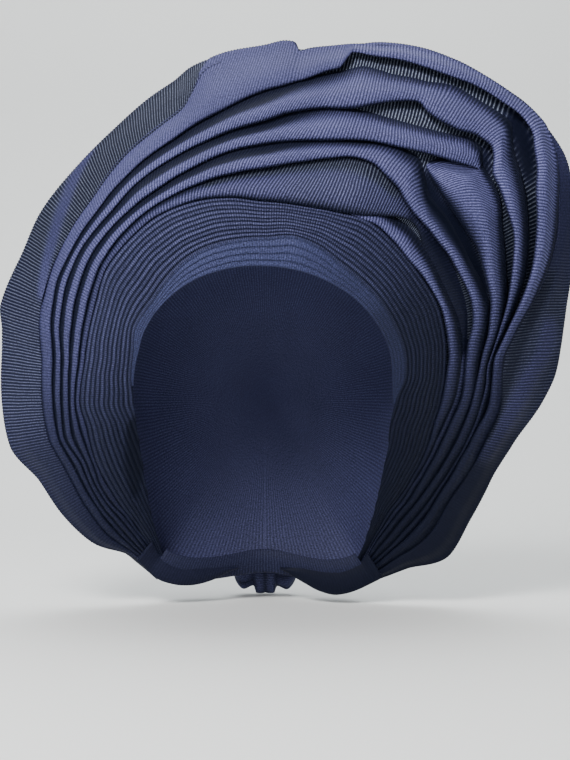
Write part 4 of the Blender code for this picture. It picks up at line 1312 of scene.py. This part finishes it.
def slant(angles, radii):
    """How much deeper than thick the cloth is where it slants away from the front."""
    outward = cloth_depth(angles, radii + SLOPE_STEP) - cloth_depth(angles, radii - SLOPE_STEP)
    turn = np.degrees(SLOPE_STEP / radii)
    around = cloth_depth(angles + turn, radii) - cloth_depth(angles - turn, radii)
    return np.sqrt(1 + (outward / (2 * SLOPE_STEP)) ** 2 + (around / (2 * SLOPE_STEP)) ** 2)


def crown_edge(angles):
    """Radius and depth of the wrap's front edge, close behind the pleats."""
    turned = (angles + 180) % 360 - 180
    fan_end = np.where(turned > 0, FAN_RIGHT_END, -FAN_LEFT_END)
    side = np.sign(turned) * np.minimum(np.abs(turned), fan_end)
    read_radius = line(EDGE, side) + CROWN_INSET
    depth = cloth_depth(side, read_radius) + CAD_WALL * slant(side, read_radius) + CROWN_GAP
    radius = read_radius * (1 + depth / VIEW_DISTANCE)
    share = np.clip(np.abs(turned) - fan_end, 0, None) / (180 - fan_end)
    share = share * share * (3 - 2 * share)
    return radius + (NAPE_DROP - radius) * share, depth + (NAPE_REACH - depth) * share


def crown_points(angles, falls):
    """Points of the wrap, each so many degrees from its backmost point."""
    edge_radius, edge_depth = crown_edge(angles)
    turned = np.abs((angles + 180) % 360 - 180)
    swell = CROWN_BULGE * through_rows(CROWN_SWELL_ANGLES, CROWN_SWELL, turned)
    slope = np.radians(falls)
    radius = edge_radius * np.sin(slope) + swell * np.sin(2 * slope)
    depth = edge_depth + (BACK_REACH - edge_depth) * np.cos(slope)
    return place(angles, radius / (1 + depth / VIEW_DISTANCE), depth)


def outside_crown(angles, falls, distance):
    """Points at a distance outside the wrap."""
    along = crown_points(angles + TURN_STEP, falls) - crown_points(angles - TURN_STEP, falls)
    down = crown_points(angles, falls + TURN_STEP) - crown_points(angles, falls - TURN_STEP)
    normal = np.cross(down, along)
    normal = normal / np.maximum(np.linalg.norm(normal, axis=-1, keepdims=True), SMALLEST)
    return crown_points(angles, falls) + normal * np.asarray(distance)[..., None]


print("wrap reaches back", round(float(crown_points(np.array([0.0]), np.array([0.0]))[0, 1]), 4), "m")

# %% [markdown]
# ## The crown's cloth
#
# A tight wrap still shows soft pulls that run from its edge to its back. Two sets of them cross here, no
# higher than the cloth is thick. The grid runs round and meets itself, so its doubled points are joined
# before it gets its wall.

# %% Crown wrap
PLAIN_RELIEF = 0.6
JOIN_DISTANCE = 0.00002
CROWN_WALL = 0.0014
CROWN_COLUMNS = 145
CROWN_ROWS = 50
CROWN_PULL = 0.0011
# Each set of pulls: its share of the height, how many there are, and how far they bend or lean
BENT_PULLS = (0.6, 9, 3)
LEANING_PULLS = (0.4, 5, 4)


def close_up(piece):
    """Join points that lie on each other, such as where a sheet runs round and meets itself."""
    select_only(piece)
    bpy.ops.object.mode_set(mode="EDIT")
    bpy.ops.mesh.select_all(action="SELECT")
    bpy.ops.mesh.remove_doubles(threshold=JOIN_DISTANCE)
    bpy.ops.object.mode_set(mode="OBJECT")
    piece.select_set(False)


def plain_marks(points, light):
    """Marks of a plain piece: closely woven, with faint ribs, and with the painted light given."""
    shape = points.shape[:2]
    return {"shade": np.ones(shape) * light, "sheer": np.zeros(shape),
            "relief": np.full(shape, PLAIN_RELIEF)}


crown_angles = np.linspace(-180, 180, CROWN_COLUMNS)[None, :]
crown_falls = np.linspace(0.0, 90, CROWN_ROWS)[:, None]
grid_angles, grid_falls = np.broadcast_arrays(crown_angles, crown_falls)
bend = BENT_PULLS[2] * np.sin(np.radians(grid_falls))
lean = np.radians(LEANING_PULLS[2] * grid_falls)
pulls = BENT_PULLS[0] * np.sin(np.radians(BENT_PULLS[1] * grid_angles) + bend)
pulls = pulls + LEANING_PULLS[0] * np.sin(np.radians(LEANING_PULLS[1] * grid_angles) - lean)
pulls = CROWN_PULL * pulls * np.sin(np.radians(grid_falls)) ** 2
crown_grid = outside_crown(grid_angles, grid_falls, pulls)
crown_along, crown_across = rib_map(crown_grid, NO_SLANT)
crown = sheet_piece("crown_wrap_cloth", crown_grid[:, ::-1], crown_along[:, ::-1], crown_across[:, ::-1],
                    plain_marks(crown_grid, 1.0))
close_up(crown)
give_wall(crown, CROWN_WALL)
crown.data.materials.append(back_cloth)
print(crown.name, len(crown.data.polygons), "faces")

# %% [markdown]
# ## The band at the nape
#
# At the nape a plain band is folded round the edge of the wrap. It could be a strip that is extruded
# along the edge. Seven lines of points tell the plain model's band: three run round the folded hem and
# four run up the outside of the wrap. A smooth curve through them gives the rows.

# %% Nape band
HEM_ROOM = 0.0052
HEM_LEG = 0.010
HEM_TURN_LEG = HEM_LEG / 3
CAD_BACK_WALL = 0.0016
NAPE_END_GAP = 0.0008
NAPE_COLUMNS = 70
NAPE_ROWS = 42
# Painted shade: the whole nape band is painted at half light
NAPE_LIGHT = 0.5
HEM_LINES = 3
HEM_BACK_ANGLES = (84.0, 76.0, 68.0, 61.0)


def nape_line(angles, row):
    """One of the seven lines of points that the nape band's plain form is told by."""
    edge_radius, edge_depth = crown_edge(angles)
    front = edge_depth - HEM_ROOM
    if row >= HEM_LINES:
        return outside_crown(angles, HEM_BACK_ANGLES[row - HEM_LINES], np.full_like(angles, HEM_ROOM))
    radius, depth = (
        (edge_radius - HEM_LEG, front),
        (edge_radius - HEM_TURN_LEG, front - CAD_BACK_WALL),
        (edge_radius + HEM_ROOM, front + CAD_BACK_WALL),
    )[row]
    return place(angles, radius / (1 + depth / VIEW_DISTANCE), depth)


end_gap = math.degrees(NAPE_END_GAP / NAPE_DROP)
nape_angles = np.linspace(FAN_RIGHT_END + end_gap, 360 + FAN_LEFT_END - end_gap, NAPE_COLUMNS)
nape_lines = np.stack([nape_line(nape_angles, row) for row in range(HEM_LINES + len(HEM_BACK_ANGLES))])
line_numbers = np.arange(len(nape_lines))
wanted = np.linspace(0, len(nape_lines) - 1, NAPE_ROWS)
nape_points = np.empty((NAPE_ROWS, NAPE_COLUMNS, 3))
for column in range(NAPE_COLUMNS):
    for axis in range(3):
        nape_points[:, column, axis] = through_rows(line_numbers, nape_lines[:, column, axis], wanted)
nape_along, nape_across = rib_map(nape_points, NO_SLANT)
nape_band = finish_sheet("nape_band_cloth", nape_points, nape_along, nape_across,
                         plain_marks(nape_points, NAPE_LIGHT), CAD_BACK_WALL, back_cloth)

# %% [markdown]
# ## The knot
#
# The cloth's two ends are tied over the band. None of it was seen, so it is made as such a wrap is mostly
# tied. A real knot could be swept along a curve. A ball whose points are moved is enough for a flat knot:
# a turn of cloth passes round its middle, and the cloth on both sides is gathered into that turn.

# %% Knot
KNOT_WIDTH = 0.042
KNOT_HEIGHT = 0.034
KNOT_DEPTH = 0.024
KNOT_INSET = 0.97
KNOT_FALL = 74.0
KNOT_GAP = 0.0003
KNOT_SEGMENTS = 96
KNOT_RINGS = 64
KNOT_GATHERS = 3.5
KNOT_TWIST = 1.2
KNOT_WRAPS = 9.0
GATHER_ROUNDNESS = 0.6
KNOT_NECK = 0.66
KNOT_FULL = 0.75
KNOT_MIDDLE = 0.32
KNOT_STEP = 0.07
KNOT_MIDDLE_GIRTH = 0.90
KNOT_CREASE = 0.10
KNOT_GROOVE = 0.6
KNOT_FLATNESS = 0.9
# Painted shade: the least light in the creases of the knot and of the tucked ends
HOLLOW_LIGHT = 0.4

knot_angle = np.array([180.0])
knot_seat = outside_crown(knot_angle, KNOT_FALL, np.array([HEM_ROOM + KNOT_DEPTH / 2 + KNOT_GAP]))[0]
bpy.ops.object.select_all(action="DESELECT")
bpy.ops.mesh.primitive_uv_sphere_add(segments=KNOT_SEGMENTS, ring_count=KNOT_RINGS, radius=1.0,
                                     location=(0.0, 0.0, 0.0))
knot = bpy.context.object
knot.name = "nape_knot_cloth"
knot.data.name = "nape_knot_cloth"
ball = np.empty(len(knot.data.vertices) * 3)
knot.data.vertices.foreach_get("co", ball)
ball = ball.reshape(-1, 3)
around = np.arctan2(ball[:, 2], ball[:, 1])
from_middle = np.abs(ball[:, 0])
gathers = np.abs(np.sin(KNOT_GATHERS * around + KNOT_TWIST * ball[:, 0])) ** GATHER_ROUNDNESS
wraps = np.abs(np.sin(KNOT_WRAPS * ball[:, 0])) ** GATHER_ROUNDNESS
fullness = KNOT_NECK + (1 - KNOT_NECK) * smooth(KNOT_MIDDLE, KNOT_FULL, from_middle)
sides = fullness - KNOT_CREASE * (1 - gathers)
middle = KNOT_MIDDLE_GIRTH - KNOT_CREASE / 2 * (1 - wraps)
in_middle = 1 - smooth(KNOT_MIDDLE - KNOT_STEP, KNOT_MIDDLE, from_middle)
girth = sides + (middle - sides) * in_middle
turns = gathers + (wraps - gathers) * in_middle
turns = turns * (1 - KNOT_GROOVE * np.exp(-((from_middle - KNOT_MIDDLE) / KNOT_STEP) ** 2))
flat = np.sign(ball) * np.abs(ball) ** KNOT_FLATNESS
flat[:, 0] *= KNOT_WIDTH / 2 * KNOT_INSET
flat[:, 1] *= KNOT_DEPTH / 2 * girth
flat[:, 2] *= KNOT_HEIGHT / 2 * girth
knot.data.vertices.foreach_set("co", (flat + knot_seat).ravel())
# Painted shade: darker in the hollows between gathers and wraps, and in the grooves beside the middle turn
set_marks(knot.data, {"shade": HOLLOW_LIGHT + (1 - HOLLOW_LIGHT) * turns, "sheer": np.zeros_like(turns),
                      "relief": np.full_like(turns, PLAIN_RELIEF)})
knot.data.uv_layers[0].name = RIB_MAP
set_map(knot.data, around * KNOT_HEIGHT / 2, ball[:, 0] * KNOT_WIDTH / 2)
knot.data.shade_smooth()
knot.data.materials.append(back_cloth)
knot.select_set(False)
print(knot.name, len(knot.data.polygons), "faces")

# %% [markdown]
# ## The tucked ends
#
# On each side of the knot a short end of the cloth is tucked along the nape band, in a few soft pleats
# that are pinched together at the knot. It could be a plane with a few loop cuts, but it has to lie on
# the round band, so its grid is laid at a set distance outside the wrap.

# %% Tie ends
TIE_END_WALL = 0.0020
TIE_END_LENGTH = 0.030
TIE_END_FALL = (82.0, 66.0)
TIE_END_TUCK = 0.004
TIE_COLUMNS = 60
TIE_ROWS = 36
TIE_PLEATS = 4
TIE_RISE = 0.0009
TIE_GAP = 3 * KNOT_GAP
PINCHED_WIDTH = 0.55
PINCH_REACH = 0.8


def make_tie_end(name, side):
    """One short end of the cloth, tucked flat along the nape band in a few soft pleats."""
    inner = math.degrees((KNOT_WIDTH / 2 - TIE_END_TUCK) / NAPE_DROP)
    outer = inner + math.degrees((TIE_END_LENGTH + TIE_END_TUCK) / NAPE_DROP)
    first, last = (180 - outer, 180 - inner) if side > 0 else (180 + inner, 180 + outer)
    angles = np.linspace(first, last, TIE_COLUMNS)[None, :]
    share = np.linspace(0, 1, TIE_ROWS)[:, None]
    from_knot = np.abs(angles - 180 + side * inner) / (outer - inner)
    pinch = PINCHED_WIDTH + (1 - PINCHED_WIDTH) * smooth(0.0, PINCH_REACH, from_knot)
    middle = (TIE_END_FALL[0] + TIE_END_FALL[1]) / 2
    falls = middle + (share - 0.5) * (TIE_END_FALL[1] - TIE_END_FALL[0]) * pinch
    grid_angles, grid_falls = np.broadcast_arrays(angles, falls)
    ridge = np.abs(np.sin(math.pi * TIE_PLEATS * share)) * np.ones_like(angles)
    distance = HEM_ROOM + TIE_END_WALL + TIE_GAP + TIE_RISE * ridge
    points = outside_crown(grid_angles, grid_falls, distance)
    along, across = rib_map(points, NO_SLANT)
    # Painted shade: darker in the hollows between the soft pleats
    marks = plain_marks(points, HOLLOW_LIGHT + (1 - HOLLOW_LIGHT) * ridge)
    return finish_sheet(name, points, along, across, marks, TIE_END_WALL / 2, back_cloth)


tie_end_left = make_tie_end("tie_end_left_cloth", -1)
tie_end_right = make_tie_end("tie_end_right_cloth", 1)

# %% [markdown]
# ## The plain ends below the fan
#
# Below the fan the pleats are sewn down and the cloth runs on plain, round to the nape. Each plain end is
# a narrow sheet that starts at the line of stitches, in front of the ends of the folds, and tapers down
# to the nape band. It could be one flat face, but its depth has to follow the wrap's front edge, so it
# is a grid too.

# %% Plain ends
PLAIN_END_FORWARD = 0.0012
PLAIN_END_ROWS = 16
PLAIN_END_BULGE = 0.0012
# Painted shade: the light left at a plain end's long edges
PLAIN_END_SIDE_LIGHT = 0.8

# Rows of angle, inner radius and outer radius
LEFT_PLAIN_END = (
    (-171, 169, 170.5), (-168, 170, 176), (-164, 173, 187), (-158, 180, 200), (-153.5, 188, 206),
    (-149, 189, 208.8), (-145, 186, 206.5), (-141.5, 181, 205),
)
RIGHT_PLAIN_END = (
    (146.5, 184, 213), (150, 188, 212), (155, 188, 211), (159.6, 183, 208), (164, 176, 199),
    (168, 171, 187), (172, 169, 176), (175, 168, 169.5),
)


def make_plain_end(name, table):
    """A plain end of the cloth, from its table."""
    angles = fan_columns(table[0][0], table[-1][0])
    inner = table_line(table, 1, angles) * STEP
    outer = table_line(table, 2, angles) * STEP
    share = np.linspace(0, 1, PLAIN_END_ROWS)[:, None]
    radii = inner + share * (outer - inner)
    bulge = np.sin(math.pi * share)
    grid_angles = np.broadcast_to(angles[None, :], radii.shape)
    front = crown_edge(angles)[1] - HEM_ROOM - PLAIN_END_FORWARD
    points = place(grid_angles, radii, front[None, :] - PLAIN_END_BULGE * bulge)
    along, across = rib_map(points, NO_SLANT)
    # Painted shade: the fold tables' light by angle, and darker towards both long edges
    marks = look_marks(FOLD_LOOKS, angles, radii.shape)
    marks["shade"] = marks["shade"] * (PLAIN_END_SIDE_LIGHT + (1 - PLAIN_END_SIDE_LIGHT) * bulge)
    return finish_sheet(name, points, along, across, marks, CLOTH_WALL, fold_cloth)


plain_end_left = make_plain_end("plain_end_left_cloth", LEFT_PLAIN_END)
plain_end_right = make_plain_end("plain_end_right_cloth", RIGHT_PLAIN_END)

# %% [markdown]
# ## The picot edge of the rim
#
# Each rib ends at the rim in a tiny tooth, which gives the outline its fine saw edge. One tooth could be
# copied along a curve. A ribbon along the rim carries all the teeth here: its columns are a third of a
# millimetre apart, too fine for whole folds.

# %% Picot edge
TOOTH_SPACING = 0.0018
TOOTH_RISE = 0.0005
# Painted light of the teeth: the light between them, and how much lighter a tooth's tip is
TOOTH_LIGHT = (0.35, 0.4)
RIBBON_WIDTH = 0.0016
RIBBON_FORWARD = 0.0002
RIBBON_SINK = 0.0012
RIM_ROWS = 4
RIM_COLUMN_STEP = 0.09
TEETH_END = (129.0, 132.0)


def rim_top(angles):
    """Radius and lift of the outermost cloth: the sheer sheet, or the outermost fold where it is higher."""
    sheet_top = fold_values(RIM_SHEET, angles)
    fold_top = fold_values(FOLD_5, angles)
    proud = fold_top["top"] > sheet_top["top"]
    lift = np.where(proud, fold_top["lift"], sheet_top["lift"])
    return np.maximum(sheet_top["top"], fold_top["top"]), lift


edge_angles = fan_columns(FAN_START, FAN_END, RIM_COLUMN_STEP)
edge_radius, edge_lift = rim_top(edge_angles)
edge_line = place(edge_angles, edge_radius, cloth_depth(edge_angles, edge_radius))
edge_length = np.concatenate([[0.0], np.cumsum(np.linalg.norm(np.diff(edge_line, axis=0), axis=1))])
tooth = np.abs(((edge_length / TOOTH_SPACING) % 1.0) * 2 - 1) * (1 - smooth(*TEETH_END, np.abs(edge_angles)))
share = np.linspace(0, 1, RIM_ROWS)[:, None]
edge_radii = edge_radius - RIBBON_WIDTH * (1 - share) + TOOTH_RISE * tooth * share
edge_grid = np.broadcast_to(edge_angles[None, :], edge_radii.shape)
edge_sink = RIBBON_SINK * (1 - share) - RIBBON_FORWARD * share
edge_points = place(edge_grid, edge_radii, cloth_depth(edge_grid, edge_radii) - edge_lift + edge_sink)
edge_along, edge_across = rib_map(edge_points, NO_SLANT)
edge_marks = look_marks(RIM_LOOKS, edge_angles, edge_radii.shape)
# Painted light: each tooth lighter towards its tip, darker between teeth
edge_marks["shade"] = edge_marks["shade"] * (TOOTH_LIGHT[0] + TOOTH_LIGHT[1] * tooth[None, :])
edge_marks["sheer"] = np.zeros_like(edge_marks["sheer"])
picot = finish_sheet("rim_picot_edge", edge_points, edge_along, edge_across, edge_marks, CLOTH_WALL,
                     fold_cloth)

# %% [markdown]
# ## The pieces on the body
#
# Nothing on the wrap moves by itself, so every piece rides on the one body, which is called root. A table
# says which part of the plain model each piece takes the place of, and that part is then left out.

# %% Riding and replacing
# Each part of the plain model, and the pieces that take its place
REPLACEMENTS = (
    ("fan_folds", folds + [back_sheet]),
    ("fan_rim", [rim_sheet, picot]),
    ("fine_pleats", [fine_pleats]),
    ("forehead_band", [band]),
    ("crown_wrap", [crown]),
    ("nape_band", [nape_band, plain_end_left, plain_end_right]),
    ("nape_knot", [knot]),
    ("tie_end_left", [tie_end_left]),
    ("tie_end_right", [tie_end_right]),
)
for node, pieces in REPLACEMENTS:
    for piece in pieces:
        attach(piece, "root")
        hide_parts(node)
    print(node, "is replaced by", [piece.name for piece in pieces])

# %% [markdown]
# ## Each sheet's flat size
#
# A sheet of cloth is told with the size that it was cut to, so that the dressed piece can be checked
# against it. The real wrap is one long cloth. Each sheet here is one stretch of it, so its flat size is
# the length of that stretch round the face and its width across the fold. The edge goes with the outer
# sheet, and the knot with the band that it is tied in.

# %% Flat sizes
# Piece, its slot, flat width and length in metres, how it is held, and what it lies on
SHEETS = (
    ("fan_fold_lowest", "pleated_cloth", 0.022, 0.55, "gathered", "fan_back_sheet"),
    ("fan_fold_inner_roll", "pleated_cloth", 0.014, 0.30, "gathered", "fan_back_sheet"),
    ("fan_fold_second", "pleated_cloth", 0.025, 0.58, "gathered", "fan_back_sheet"),
    ("fan_fold_third", "pleated_cloth", 0.024, 0.48, "gathered", "fan_back_sheet"),
    ("fan_fold_lobe", "pleated_cloth", 0.025, 0.28, "gathered", "fan_back_sheet"),
    ("fan_fold_fourth", "pleated_cloth", 0.030, 0.62, "gathered", "fan_back_sheet"),
    ("fan_fold_outermost", "pleated_cloth", 0.032, 0.70, "gathered", "fan_back_sheet"),
    ("fan_rim_sheet", "sheer_cloth", 0.030, 0.85, "gathered", "fan_back_sheet"),
    ("fan_back_sheet", "pleated_cloth", 0.100, 0.65, "gathered", "crown_wrap_cloth"),
    ("fine_pleat_cloth", "pleated_cloth", 0.042, 0.45, "gathered", "crown_wrap_cloth"),
    ("forehead_band_cloth", "band_cloth", 0.016, 0.24, "stretched", "crown_wrap_cloth"),
    ("crown_wrap_cloth", "back_cloth", 0.220, 0.34, "stretched", None),
    ("nape_band_cloth", "back_cloth", 0.038, 0.16, "folded", "crown_wrap_cloth"),
    ("tie_end_left_cloth", "back_cloth", 0.020, 0.035, "folded", "nape_band_cloth"),
    ("tie_end_right_cloth", "back_cloth", 0.020, 0.035, "folded", "nape_band_cloth"),
    ("plain_end_left_cloth", "pleated_cloth", 0.016, 0.050, "folded", "nape_band_cloth"),
    ("plain_end_right_cloth", "pleated_cloth", 0.017, 0.055, "folded", "nape_band_cloth"),
)


def cloth_area(piece):
    """Half of a cloth's surface: the area of one of its two faces."""
    return sum(face.area for face in piece.data.polygons) / 2


for name, slot, flat_width, flat_length, held, under in SHEETS:
    piece = bpy.data.objects[name]
    print(name, "flat", round(flat_width * flat_length, 5), "measured", round(cloth_area(piece), 5), "m2")
